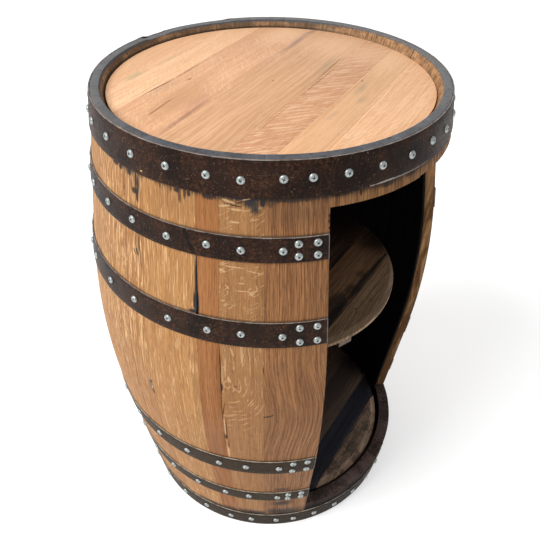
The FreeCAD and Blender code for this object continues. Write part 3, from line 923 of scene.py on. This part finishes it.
hoopMarks = {
    "upper_quarter_hoop": wallMarks(
        (37.3, 766, 4.2, 20, .4, black, .8), (35.9, 750, 3, 9, .1, black, .8)),
    "top_chime_hoop": wallMarks(
        # on the top hoop: the two pale lines at its lower edge are a painted highlight, and the dark band
        # and the grey-brown patch beyond it, high on the strap, a painted sheen
        (-22, 839.2, 75, 1, 0, (.3, .265, .245), .85), (-16, 840, 28, 1.2, .02, (.42, .39, .37), .8),
        (-26.5, 862, 22, 22, 0, black, .6), (-45, 862, 70, 22, 0, (.09, .072, .06), .5),
        (52, 844, 3, 1.6, .2, (.55, .36, .12)), (4, 862, 30, 20, 0, black, .4)),
    "bottom_chime_hoop": wallMarks((-38, 25, 220, 80, 0, (.012, .009, .008), .7)),
}
# paler steel for the hoops' upper edges and the rivets: worn and dusty metal, partly a painted highlight
wornEdge, rawCut = bareSteel("wornEdge", (.3, .27, .25), .5), bareSteel("rawCut", (.42, .4, .38), .45)
dustyEdge = bareSteel("dustyEdge", (.5, .44, .37), .6)


def strapSection(low, high, lift, name):
    # the strap's section: a thin leaning rectangle out from the wall
    bpy.ops.mesh.primitive_plane_add(size=1, location=(0, 0, 0), rotation=(math.pi / 2, 0, 0))
    strip = started(name)
    seat = hoopSeat(low, high) + lift
    openEdit(strip)
    for xSide, zSide in ((-1, -1), (1, -1), (-1, 1), (1, 1)):
        z = low if zSide < 0 else high
        x = outerRadius(z) + seat + (hoopRecipe["thick"] if xSide > 0 else 0)
        choose(strip, lambda v: abs(v.co.x - .5 * xSide) < 1e-4 and abs(v.co.z - .5 * zSide) < 1e-4)
        slide(x - .5 * xSide, 0, z - .5 * zSide)
    closeEdit()
    return strip


def sweepStrap(name, low, high, start, sweep, lift=0):
    strip = strapSection(low, high, lift, name)
    ring = sweep > 359
    openEdit(strip)
    if ring:
        # only the outline is spun, so that nothing is left inside the ring
        bpy.ops.mesh.select_all(action="SELECT")
        bpy.ops.mesh.delete(type="ONLY_FACE")
    # a few rows across the strap, so that it can be dented
    choose(strip, lambda e: abs(e.verts[0].co.z - e.verts[1].co.z) > .01, "edges")
    bpy.ops.mesh.subdivide(number_cuts=hoopRecipe["rows"])
    spinRound(sweep, max(3, math.ceil(sweep / hoopRecipe["step"])))
    if ring:
        bpy.ops.mesh.select_all(action="SELECT")
        bpy.ops.mesh.remove_doubles(threshold=.0001)
    turnFacesOut()
    closeEdit()
    turnAbout(strip, start)
    return strip


def makeHoops():
    dents = bpy.data.textures.new("hammerDents", "CLOUDS")
    dents.noise_scale = .035
    dents.noise_depth = 1
    for order, (node, low, high, cut, lapAt) in enumerate(hoopRecipe["bands"]):
        middle = (low + high) / 2
        lap = math.degrees(hoopRecipe["lap"] / outerRadius(middle))
        base, top = low + hoopRecipe["trim"], high - hoopRecipe["trim"]
        if cut:
            short = math.degrees(hoopRecipe["rawEnd"] / outerRadius(middle))
            sweep = 360 - 2 * halfOpening - 2 * short
            ring = sweepStrap(node + "Strap", base, top, rightJamb + short, sweep)
        else:
            ring = sweepStrap(node + "Strap", base, top, 0, 360)
        over = sweepStrap(node + "Lap", base, top, lapAt - lap / 2, lap, hoopRecipe["thick"])
        for strap in (ring, over):
            roundEdges(strap, hoopRecipe["round"], 2, 60)
        useModifier(ring, "DISPLACE", texture=dents, strength=hoopRecipe["dent"], mid_level=.5,
                    texture_coords="LOCAL")
        hoop = joinAll([ring, over], node.replace("_", " ").title().replace(" ", ""))
        hoop.name = hoop.name[0].lower() + hoop.name[1:]
        if order == 0:
            wearRim(hoop)

        def bandPlace(co):
            return (math.radians(aroundOf(co)) * outerRadius(middle), co.z, order * .4)
        paintGrain(hoop, bandPlace)
        paintGrain(hoop, lambda co: (*wallPlace(aroundOf(co), co.z), 0), "wall")
        steel = strapSteel("strap%d" % order, *hoopRecipe["tones"][order], cut, hoopMarks.get(node, ()))

        def rule(centre, normal):
            # 0 the face, 1 its upper edge, 2 a sawn end
            out = Vector((centre.x, centre.y, 0)).normalized()
            if abs(normal.dot(out)) < .75 and abs(normal.z) < .5:
                return 2
            return 1 if normal.z > .5 else 0
        # the upper edges, which face up to the light, take the paler steel: worn metal and a painted
        # highlight
        sortFaces(hoop, [steel, dustyEdge if middle < .3 else wornEdge, rawCut], rule)
        smooth(hoop)
        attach(hoop, "cask")
        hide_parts(node)


makeHoops()
print("hoops done")


# ---- screws: one is modelled, and copied to every place
screwRecipe = {
    "radius": .006, "height": .0032, "shank": .0024, "length": .02, "point": .004, "lift": .00008,
    "blank": .0046, "dome": ((.0042, .0028), (.0054, .0019), (.006, .0008), (.006, 0)),
    "slot": .0008, "recess": .0016, "wander": 1.5, "wanderStep": 2.4, "tip": .03,
    "jambInset": 17, "jambColumn": 26, "edgeInset": 9.5, "single": .28, "second": .72,
}
rivetRecipe = {
    "radius": .0045, "sides": 14, "apart": .025, "rings": ((.001, 1), (.0008, .82), (.0005, .62)),
}


def makeScrew():
    crown = (0, 0, screwRecipe["height"])
    bpy.ops.mesh.primitive_grid_add(x_subdivisions=3, y_subdivisions=3, size=screwRecipe["blank"],
                                    location=crown)
    screw = started("domeScrew")
    openEdit(screw)
    for axis in (0, 1):
        choose(screw, lambda v: abs(v.co[axis]) < .0015)
        ratio = [1, 1, 1]
        ratio[axis] = screwRecipe["slot"] / .001
        bpy.ops.transform.resize(value=ratio, center_override=crown)
    # the dome grows out from the recess in rings
    for radius, z in screwRecipe["dome"]:
        shape = bmesh.from_edit_mesh(screw.data)
        level = min(v.co.z for v in shape.verts)
        choose(screw, lambda e: len(e.link_faces) == 1, "edges")
        bpy.ops.mesh.extrude_edges_move(TRANSFORM_OT_translate={"value": (0, 0, z - level)})
        shape = bmesh.from_edit_mesh(screw.data)
        for vert in [v for v in shape.verts if v.select]:
            flat = Vector((vert.co.x, vert.co.y)).normalized() * radius
            vert.co.x, vert.co.y = flat.x, flat.y
        bmesh.update_edit_mesh(screw.data)
    choose(screw, lambda v: abs(v.co.z) < 1e-5)
    bpy.ops.mesh.edge_face_add()
    bpy.ops.mesh.inset(thickness=screwRecipe["radius"] - screwRecipe["shank"])
    extrude(screwRecipe["point"] - screwRecipe["length"])
    extrude(-screwRecipe["point"])
    bpy.ops.mesh.merge(type="CENTER")
    # the cross
    bpy.ops.mesh.select_mode(type="FACE")
    slot = screwRecipe["slot"] / 2
    choose(screw, lambda f: f.calc_center_median().z > crown[2] - .0001 and min(
        abs(f.calc_center_median().x), abs(f.calc_center_median().y)) < slot, "faces")
    extrude(-screwRecipe["recess"])
    narrow(.6, .0014)
    turnFacesOut()
    closeEdit()
    return screw


def zinc(name, base, rough):
    beginMaterial(name)
    place = objectPlace()
    dull = noise(place, 240, 3, .6)
    colour = blend(span(dull, .35, .7), base, toned(base, .72))
    return endMaterial(colour, span(dull, .3, .7, rough, rough + .15), .5, dull, .0001, .75)


def screwPlaces(low, high, cut, lapAt):
    low, high, places = low * 1000, high * 1000, []
    middle = (low + high) / 2
    lap = math.degrees(hoopRecipe["lap"] / outerRadius(middle / 1000))
    for number, (start, sweep) in enumerate(spans):
        if cut and number >= firstCut:
            continue
        shares = [.5]
        if number == 0:
            shares = [screwRecipe["single"]] + [screwRecipe["second"]] * (not cut)
        if number == firstCut - 1:
            shares = [1 - screwRecipe["single"]] + [1 - screwRecipe["second"]] * (not cut)
        for share in shares:
            degrees = start + sweep * share
            z = middle + screwRecipe["wander"] * math.sin(number * screwRecipe["wanderStep"] + low)
            off = abs(wrapped(degrees - lapAt))
            if off > lap / 2 + math.degrees(screwRecipe["radius"] / cask["bilgeRadius"]):
                places.append((degrees, z))
    if cut:
        for jamb, way in ((leftJamb, -1), (rightJamb, 1)):
            for column in (screwRecipe["jambInset"], screwRecipe["jambInset"] + screwRecipe["jambColumn"]):
                for z in (low + screwRecipe["edgeInset"], high - screwRecipe["edgeInset"]):
                    places.append((jamb + way * math.degrees(column / outerRadius(z / 1000) / 1000), z))
    return places


def seatOnHoop(low, high, degrees, z, layers=1):
    lean = math.atan2(outerRadius(low) - outerRadius(high), high - low)
    radius = outerRadius(low) + (outerRadius(high) - outerRadius(low)) * (z - low) / (high - low)
    radius += hoopSeat(low, high) + layers * hoopRecipe["thick"]
    out = polar(degrees, math.cos(lean), math.sin(lean))
    return polar(degrees, radius, z) + out * screwRecipe["lift"], out


def plant(master, name, seats):
    copies = []
    for base, out, roll in seats:
        copy = master.copy()
        copy.data = master.data.copy()
        copy.name = name + "Copy"
        bpy.context.collection.objects.link(copy)
        turn = out.to_track_quat("Z", "Y").to_matrix().to_4x4()
        copy.data.transform(Matrix.Translation(base) @ turn @ Matrix.Rotation(roll, 4, "Z"))
        copies.append(copy)
    return joinAll(copies, name)


def makeScrews():
    screw = makeScrew()
    bright, dark = zinc("zincPlate", (.44, .475, .465), .34), zinc("screwRecess", (.1, .115, .115), .5)

    # painted shade: the cross recess takes the dark zinc
    def inCross(c, n):
        return int(c.z > .001 and fromAxis(c) < .0031 and (n.z < .5 or c.z < .0026))
    sortFaces(screw, [bright, dark], inCross)
    smooth(screw, 40)
    seats, rivetSeats = [], []
    for node, low, high, cut, lapAt in hoopRecipe["bands"]:
        for degrees, z in screwPlaces(low, high, cut, lapAt):
            base, out = seatOnHoop(low, high, degrees, z / 1000)
            tip = polar(random.uniform(0, 360), random.uniform(0, screwRecipe["tip"]), 0)
            seats.append((base, (out + tip).normalized(), random.uniform(0, math.tau)))
        middle = (low + high) / 2
        for way in (-.5, .5):
            degrees = lapAt + way * math.degrees(rivetRecipe["apart"] / outerRadius(middle))
            rivetSeats.append((*seatOnHoop(low, high, degrees, middle, 2), 0))
    screws = plant(screw, "hoopScrews", seats)
    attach(screws, "cask")
    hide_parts("hoop_screws")
    remove(screw)

    # rivets: a low dome, turned from a circle
    bpy.ops.mesh.primitive_circle_add(vertices=rivetRecipe["sides"], radius=rivetRecipe["radius"],
                                      fill_type="NGON", location=(0, 0, 0))
    rivet = started("strapRivet")
    openEdit(rivet)
    for rise, ratio in rivetRecipe["rings"]:
        choose(rivet, lambda f: f.normal.z > .9 and f.calc_center_median().z >= max(
            g.calc_center_median().z for g in bmesh.from_edit_mesh(rivet.data).faces) - 1e-6, "faces")
        extrude(rise)
        narrow(ratio)
    turnFacesOut()
    closeEdit()
    sortFaces(rivet, [wornEdge], lambda c, n: 0)
    smooth(rivet, 50)
    rivets = plant(rivet, "hoopRivets", rivetSeats)
    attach(rivets, "cask")
    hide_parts("hoop_rivets")
    remove(rivet)


makeScrews()
print("screws done")


# ---- discs in boards: the new top and the shelves
def cutBoard(disc, name, low, high, turn, bevel, angle, seed):
    # keeps the board between two lines that run across the disc
    piece = duplicate(disc, name)
    ahead, across = polar(turn, 1, 0), polar(turn + 90, 1, 0)
    edge = disc.dimensions.x / 2 - .001
    openEdit(piece)
    for y, above in ((low, True), (high, False)):
        if abs(y) > edge:
            # the disc ends here by itself
            continue
        bisectAt(across * y, across, above, not above)
    turnFacesOut()
    closeEdit()
    roundEdges(piece, bevel, 2, angle)
    middle = (low + high) / 2
    paintGrain(piece, lambda co: (co.dot(across) - middle, co.dot(ahead), co.z + seed))
    paintGrain(piece, lambda co: (co.x, co.y, 0), "wall")
    return piece


def boardLines(boards, reach):
    edges, y = [], -reach
    for width in boards:
        edges.append((y, y + 2 * reach * width / sum(boards)))
        y = edges[-1][1]
    return edges


topRecipe = {
    "radius": innerRadius(.87) - .0007, "low": .856, "high": .876, "turn": 4.2, "edge": .0004,
    "boards": [87, 49, 58, 103, 104, 58, 59],
}
peach = dict(pale=(.89, .525, .295), dark=(.62, .315, .155), ray=(.97, .68, .44), lines=.35, bands=.3,
             fines=.3, lift=.2, pores=.2, clouds=.3, cloud=(.72, .4, .22), rough=.5, relief=.00015,
             sway=.03, lineScale=200)
slant = dict(scale=(330, 24), turn=-44, cut=(.5, .6), strength=.45, wave=.6, shade=.3)
feather = dict(scale=(420, 34), turn=40, cut=(.54, .64), strength=.28, gate=(14, 6), shade=.35)
topLooks = [
    dict(peach, pale=(.99, .605, .355), dark=(.72, .385, .2), lines=.45, clouds=.2,
         strokes=[dict(feather, turn=-20, strength=.4)]),
    dict(peach, pale=(.84, .485, .268), clouds=.4, cloud=(.66, .41, .22)),
    dict(peach, pale=(.66, .34, .184), dark=(.52, .25, .125), lines=.2, strokes=[slant]),
    dict(peach, pale=(.76, .44, .248), dark=(.48, .255, .125), lines=.45, fines=.4, bands=.15,
         lineScale=300),
    dict(peach, pale=(.86, .49, .278), dark=(.6, .305, .162), bands=.35, clouds=.4, cloud=(.66, .355, .2),
         strokes=[dict(feather, strength=.36)]),
    dict(peach, pale=(.97, .6, .352), dark=(.74, .405, .215), strokes=[feather], clouds=.2),
    dict(peach, pale=(.9, .54, .31), dark=(.7, .37, .19), strokes=[dict(feather, turn=20)]),
]
umber, plum, smoke = (.2, .095, .045), (.29, .19, .165), (.5, .33, .2)
# the cream plates at the right end of the top boards are a painted sheen
seam, sheenCream = (.36, .17, .08), (.93, .58, .35)
# the last colour here is painted shade, laid on the far side of the shelves where they run into the dark
# inside
soot, interiorShade = (.008, .006, .005), (.012, .007, .005)


def boardMarks(*rows):
    # a row is x, y, half width, half height in mm, tilt, colour and strength; two colours have firm edges
    return [((x / 1000, y / 1000, wide / 1000, tall / 1000, tilt), tint, strength,
             0 if tint in (umber, soot) else 1) for x, y, wide, tall, tilt, tint, strength in rows]


topMarks = {
    1: boardMarks((-60, -181, 150, .9, .073, seam, .5)),
    2: boardMarks(
        (52, -135, 30, 8.5, .1, smoke, .75), (14, -155, 18, 7, 0, smoke, .7),
        (78, -122.5, 6, 1.4, .2, umber, .9), (40, -124.5, 160, .9, .073, seam, .5),
        (-60, -143, 20, 6, 0, smoke, .5), (190, -110, 90, 70, 0, sheenCream, .6)),
    3: boardMarks(
        (200, -85, 80, 70, 0, sheenCream, .5), (45, -65.5, 75, 1.6, .075, umber, .6),
        (-120, -79, 100, 1.1, .075, seam, .6)),
    4: boardMarks(
        (105, -43, 56, 9, .16, smoke, .75), (-1, -4, 3, 2, .3, umber, .8),
        (105, -53, 55, 2, .12, umber, .5), (200, -10, 80, 80, 0, sheenCream, .6),
        (-40, 22, 210, .9, .073, seam, .5)),
    5: boardMarks(
        (-175, 31, 95, 5.5, .105, (.36, .18, .115), .85), (-130, 50, 50, 13, .1, (.55, .29, .18), .75),
        (187, 60, 50, 6.5, .12, plum, .95), (232, 64, 28, 5, -.2, plum, .85),
        (140, 55, 40, 6, .05, (.45, .27, .19), .75), (20, 48, 110, 10, .075, (.6, .33, .19), .5),
        (-140, 76, 100, 30, .06, (.58, .305, .155), .85), (205, 98, 80, 45, 0, sheenCream, .8),
        (-125, 131, 60, 1.6, 0, umber, .85), (-40, 135, 45, 1.2, .1, umber, .7),
        (-190, 130, 35, 1.2, -.02, umber, .7), (-70, 110, 9, 1.8, .05, umber, .85),
        (-175, 80.5, 42, 1.3, .15, umber, .8), (-120, 122, 60, 5, .05, smoke, .5)),
    6: boardMarks(
        (-108, 192.5, 30, 6.5, .05, (.5, .42, .24), .8), (-120, 142, 60, 1, .08, umber, .4),
        (-30, 193, 150, .9, .05, seam, .5), (-20, 194.5, 25, 4, .05, (.58, .45, .25), .6)),
    7: boardMarks((-108, 196, 30, 5, .05, (.5, .42, .24), .7)),
}


def makeTop():
    low, high = topRecipe["low"], topRecipe["high"]
    bpy.ops.mesh.primitive_cylinder_add(vertices=200, radius=topRecipe["radius"], depth=high - low,
                                        location=(0, 0, (high + low) / 2))
    disc = started("newTop")
    lines = boardLines(topRecipe["boards"], topRecipe["radius"])
    for number, (low, high) in enumerate(lines, 1):
        board = cutBoard(disc, "topBoard%d" % number, low, high, topRecipe["turn"], topRecipe["edge"], 35,
                         number * .31)
        look = dict(topLooks[number - 1], seed=number * .53)
        sortFaces(board, [oak("topOak%d" % number, look, topMarks.get(number, ()))], lambda c, n: 0)
        smooth(board)
        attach(board, "cask")
        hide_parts("top_board_%d" % number)
    remove(disc)


makeTop()
print("top done")


shelfRecipe = {
    "thick": .022, "edge": .006, "round": .0007,
    "upper": {"radius": .243, "top": .508, "turn": .5, "bevel": .008, "boards": [55, 78, 96, 104, 88, 65],
              "bevelTone": .72, "edgeTone": 1.75, "seed": 11},
    "lower": {"radius": innerRadius(.058) - .0048, "top": .08, "turn": 1, "bevel": .012,
              "boards": [47, 44, 92, 104, 89, 77, 61], "bevelTone": 1.7, "edgeTone": 1, "seed": 23},
}
oldOak = dict(lines=.6, bands=.6, fines=.4, lift=.2, clouds=.6, rough=.6, pores=.5, relief=.0006)
# the boards further back are toned darker, most of all boards 3 to 6 of the upper shelf: painted shade of
# the dark inside; the lower shelf's second board is a dark plank
shelfLooks = {
    "upper": [
        dict(oldOak, pale=(.265, .17, .096), dark=(.125, .078, .042), clouds=.45, bands=.3),
        dict(oldOak, pale=(.3, .165, .082), dark=(.12, .062, .032), cloud=(.07, .042, .026), bands=.3),
        dict(oldOak, pale=(.075, .042, .026), dark=(.03, .017, .012)),
        dict(oldOak, pale=(.05, .03, .02), dark=(.022, .013, .009)),
        dict(oldOak, pale=(.06, .036, .022), dark=(.028, .016, .01)),
        dict(oldOak, pale=(.05, .03, .02), dark=(.022, .014, .01)),
    ],
    "lower": [
        dict(oldOak, pale=(.28, .185, .125), dark=(.15, .098, .068), clouds=.6, cloud=(.095, .064, .048),
             bands=.15, lines=.35, fines=.6),
        dict(oldOak, pale=(.036, .034, .046), dark=(.014, .013, .02), cloud=(.012, .012, .018)),
        dict(oldOak, pale=(.185, .122, .082), dark=(.06, .04, .034), bands=.9),
        dict(oldOak, pale=(.2, .115, .078), dark=(.07, .043, .034), bands=.9),
        dict(oldOak, pale=(.1, .065, .045), dark=(.045, .028, .02)),
        dict(oldOak, pale=(.15, .095, .06), dark=(.07, .042, .028)),
        dict(oldOak, pale=(.12, .075, .05), dark=(.05, .03, .022)),
    ],
}
shelfMarks = {
    "upper": {
        1: boardMarks(
            (-33, -206, 2.6, 1.7, 0, soot, .9), (25, -204, 1.8, 1.2, 0, soot, .9),
            (20, -189.5, 140, 1.2, 0, soot, .9)),
        2: boardMarks(
            (-85, -182, 80, 11, 0, soot, .95), (-45, -170, 50, 22, 0, soot, .8),
            (-65, -152, 30, 12, 0, soot, .6), (40, -183, 80, 8.5, 0, soot, .9),
            (115, -184, 50, 7, 0, soot, .9), (10, -176, 20, 14, 0, soot, .6),
            (60, -170, 12, 12, 0, soot, .5), (50, -112.5, 140, 3, 0, soot, .95),
            (170, -150, 50, 50, 0, interiorShade, .95), (215, -125, 70, 40, 0, interiorShade, .95)),
        3: boardMarks((50, -108.5, 140, 2, 0, soot, .9), (200, -40, 85, 90, 0, interiorShade, .95)),
    },
    "lower": {
        1: boardMarks(
            (0, -228, 50, 7.5, 0, soot, .35), (-60, -232, 30, 5, 0, soot, .3),
            (20, -212.5, 160, 1.1, 0, soot, .8)),
        2: boardMarks((185, -185, 45, 30, 0, interiorShade, .8)),
        3: boardMarks((225, -120, 50, 60, 0, interiorShade, .9)),
    },
}


def makeShelf(which):
    recipe = shelfRecipe[which]
    half, edge, bevel = shelfRecipe["thick"] / 2, shelfRecipe["edge"] / 2, recipe["bevel"]
    middle = recipe["top"] - half
    bpy.ops.mesh.primitive_cylinder_add(vertices=180, radius=recipe["radius"], depth=2 * edge,
                                        location=(0, 0, middle))
    disc = started(which + "Disc")
    ratio = (recipe["radius"] - bevel) / recipe["radius"]
    openEdit(disc)
    for way in (1, -1):
        choose(disc, lambda f: f.normal.z * way > .9, "faces")
        extrude(way * (half - edge))
        narrow(ratio, middle)
    turnFacesOut()
    closeEdit()
    boards = []
    for number, (low, high) in enumerate(boardLines(recipe["boards"], recipe["radius"]), 1):
        board = cutBoard(disc, "%sShelf%d" % (which, number), low, high, recipe["turn"],
                         shelfRecipe["round"], 30, number * .29)
        look = dict(shelfLooks[which][number - 1], seed=recipe["seed"] + number * .61)
        # the bevel and the edge are worn and dusty and toned apart from the board: a raised tone is partly
        # a painted highlight along the edge, and on the boards behind the front one the tone is lower
        front = 1 if number == 1 else .6
        patchy = mottle if which == "lower" and number == 1 else None
        marks = shelfMarks[which].get(number, ())
        faces = [oak("%sShelfOak%d" % (which, number), look, marks, patchy)]
        for part, tone in (("Bevel", recipe["bevelTone"]), ("Edge", recipe["edgeTone"])):
            rimLook = dict(look, pale=toned(look["pale"], tone * front), clouds=.6,
                           cloud=toned(look["pale"], .35), seed=recipe["seed"] + number * .43)
            faces.append(oak("%sShelf%s%d" % (which, part, number), rimLook, marks, patchy))
        inner, outer = recipe["radius"] - bevel - .0005, recipe["radius"] - .001
        sortFaces(board, faces, lambda c, n: (fromAxis(c) > inner) + (fromAxis(c) > outer))
        boards.append(board)
    shelf = joinAll(boards, which + "Shelf")
    smooth(shelf)
    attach(shelf, "carousel")
    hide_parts(which + "_shelf")
    remove(disc)


makeShelf("upper")
makeShelf("lower")
print("shelves done")


# ---- pieces that keep the CAD's own shape get a finish
def objectOak(name, look):
    # the oak recipe reads an attribute, which a CAD node doesn't have, so this one reads its own place
    beginMaterial(name)
    place = objectPlace()
    line = span(noise(place, look["lineScale"], 3, .6), .35, .7)
    cloud = noise(place, 9, 3)
    colour = blend(line, look["pale"], look["dark"])
    colour = blend(span(cloud, .4, .7, 0, .6), colour, toned(look["dark"], .5))
    return endMaterial(colour, span(line, 0, 1, .5, .65), .5, line, .0004)


def castIron(name, base):
    beginMaterial(name)
    place = objectPlace()
    grit = noise(place, 300, 4, .6)
    cloud = noise(place, 24, 3)
    colour = blend(span(cloud, .3, .7), base, toned(base, 1.9))
    colour = blend(span(grit, .62, .75, 0, .4), colour, (.09, .04, .02))
    return endMaterial(colour, span(grit, .3, .7, .45, .65), .5, grit, .0003, .3)


blockOak = objectOak("blockOak", dict(pale=(.45, .27, .14), dark=(.28, .15, .07), lineScale=(220, 220, 12)))
headOak = objectOak("headOak", dict(pale=(.16, .1, .06), dark=(.07, .042, .026), lineScale=(8, 200, 200)))
battenOak = objectOak("battenOak",
                      dict(pale=(.17, .1, .06), dark=(.08, .045, .028), lineScale=(90, 90, 260)))
iron, race = castIron("blackIron", (.012, .012, .012)), bareSteel("raceSteel", (.5, .5, .48), .3)
smallZinc = zinc("smallZinc", (.55, .56, .56), .35)
finishes = {
    "top_blocks": blockOak, "bottom_head": headOak, "shelf_battens": battenOak,
    "post": iron, "post_flanges": iron, "bearing_lower_race": race, "bearing_upper_race": race,
    "bearing_balls": race, "top_block_screws": smallZinc, "batten_screws": smallZinc,
    "flange_screws": smallZinc, "bearing_lower_screws": smallZinc, "bearing_upper_screws": smallZinc,
}
for node, finish in finishes.items():
    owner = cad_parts[node]
    for slotPlace in owner.material_slots:
        slotPlace.material = finish
    if not owner.material_slots:
        owner.data.materials.append(finish)
print("finishes done")


# ---- camera, floor and light
view = {"place": (-.7847, -.5047, 1.251), "pitch": 39.47, "roll": .36, "lens": 40.007}


def makeCamera():
    place = Vector(view["place"])
    level = Vector((-place.x, -place.y, 0)).normalized()
    pitch, roll = math.radians(view["pitch"]), math.radians(view["roll"])
    ahead = level * math.cos(pitch) - Vector((0, 0, 1)) * math.sin(pitch)
    right = ahead.cross(Vector((0, 0, 1))).normalized()
    up = right.cross(ahead)
    right, up = right * math.cos(roll) + up * math.sin(roll), up * math.cos(roll) - right * math.sin(roll)
    bpy.ops.object.camera_add()
    camera = bpy.context.object
    camera.name = "viewCamera"
    camera.data.lens = view["lens"]
    camera.data.sensor_width = 36
    camera.data.clip_start = .05
    camera.matrix_world = Matrix((
        (right.x, up.x, -ahead.x, place.x), (right.y, up.y, -ahead.y, place.y),
        (right.z, up.z, -ahead.z, place.z), (0, 0, 0, 1)))
    bpy.context.scene.camera = camera


light = {"sky": .59, "key": 585, "keyPlace": (-5.1, 2.85, 6.5), "keySize": 4.4, "floorGlow": .45}


def makeStage():
    bpy.ops.mesh.primitive_grid_add(x_subdivisions=8, y_subdivisions=8, size=14, location=(0, 0, 0))
    floor = bpy.context.object
    floor.name = "floor"
    beginMaterial("paleFloor")
    shader = wiring["tree"].nodes["Principled BSDF"]
    shader.inputs["Base Color"].default_value = (.82, .82, .82, 1)
    shader.inputs["Roughness"].default_value = .9
    path = newNode("LightPath").outputs
    seen = calc("MAXIMUM", path["Is Camera Ray"], path["Is Glossy Ray"])
    seen = calc("MAXIMUM", seen, path["Is Transmission Ray"])
    shader.inputs["Emission Color"].default_value = (1, 1, 1, 1)
    feed(shader.inputs["Emission Strength"], times(seen, light["floorGlow"]))
    floor.data.materials.append(wiring["material"])

    world = bpy.data.worlds.new("softSky")
    bpy.context.scene.world = world
    world.use_nodes = True
    wiring["tree"] = world.node_tree
    background = world.node_tree.nodes["Background"]
    path = newNode("LightPath").outputs
    seen = calc("MAXIMUM", path["Is Camera Ray"], path["Is Transmission Ray"])
    feed(background.inputs["Strength"], span(seen, 0, 1, light["sky"], 1, "LINEAR"))
    background.inputs["Color"].default_value = (1, 1, 1, 1)

    bpy.ops.object.light_add(type="AREA", location=light["keyPlace"])
    key = bpy.context.object
    key.name = "keyLight"
    key.data.energy = light["key"]
    key.data.size = light["keySize"]
    aim = Vector((0, 0, .45)) - Vector(light["keyPlace"])
    key.rotation_euler = aim.to_track_quat("-Z", "Y").to_euler()


makeCamera()
makeStage()
scene = bpy.context.scene
scene.view_settings.view_transform = "Standard"
print("camera and light done")
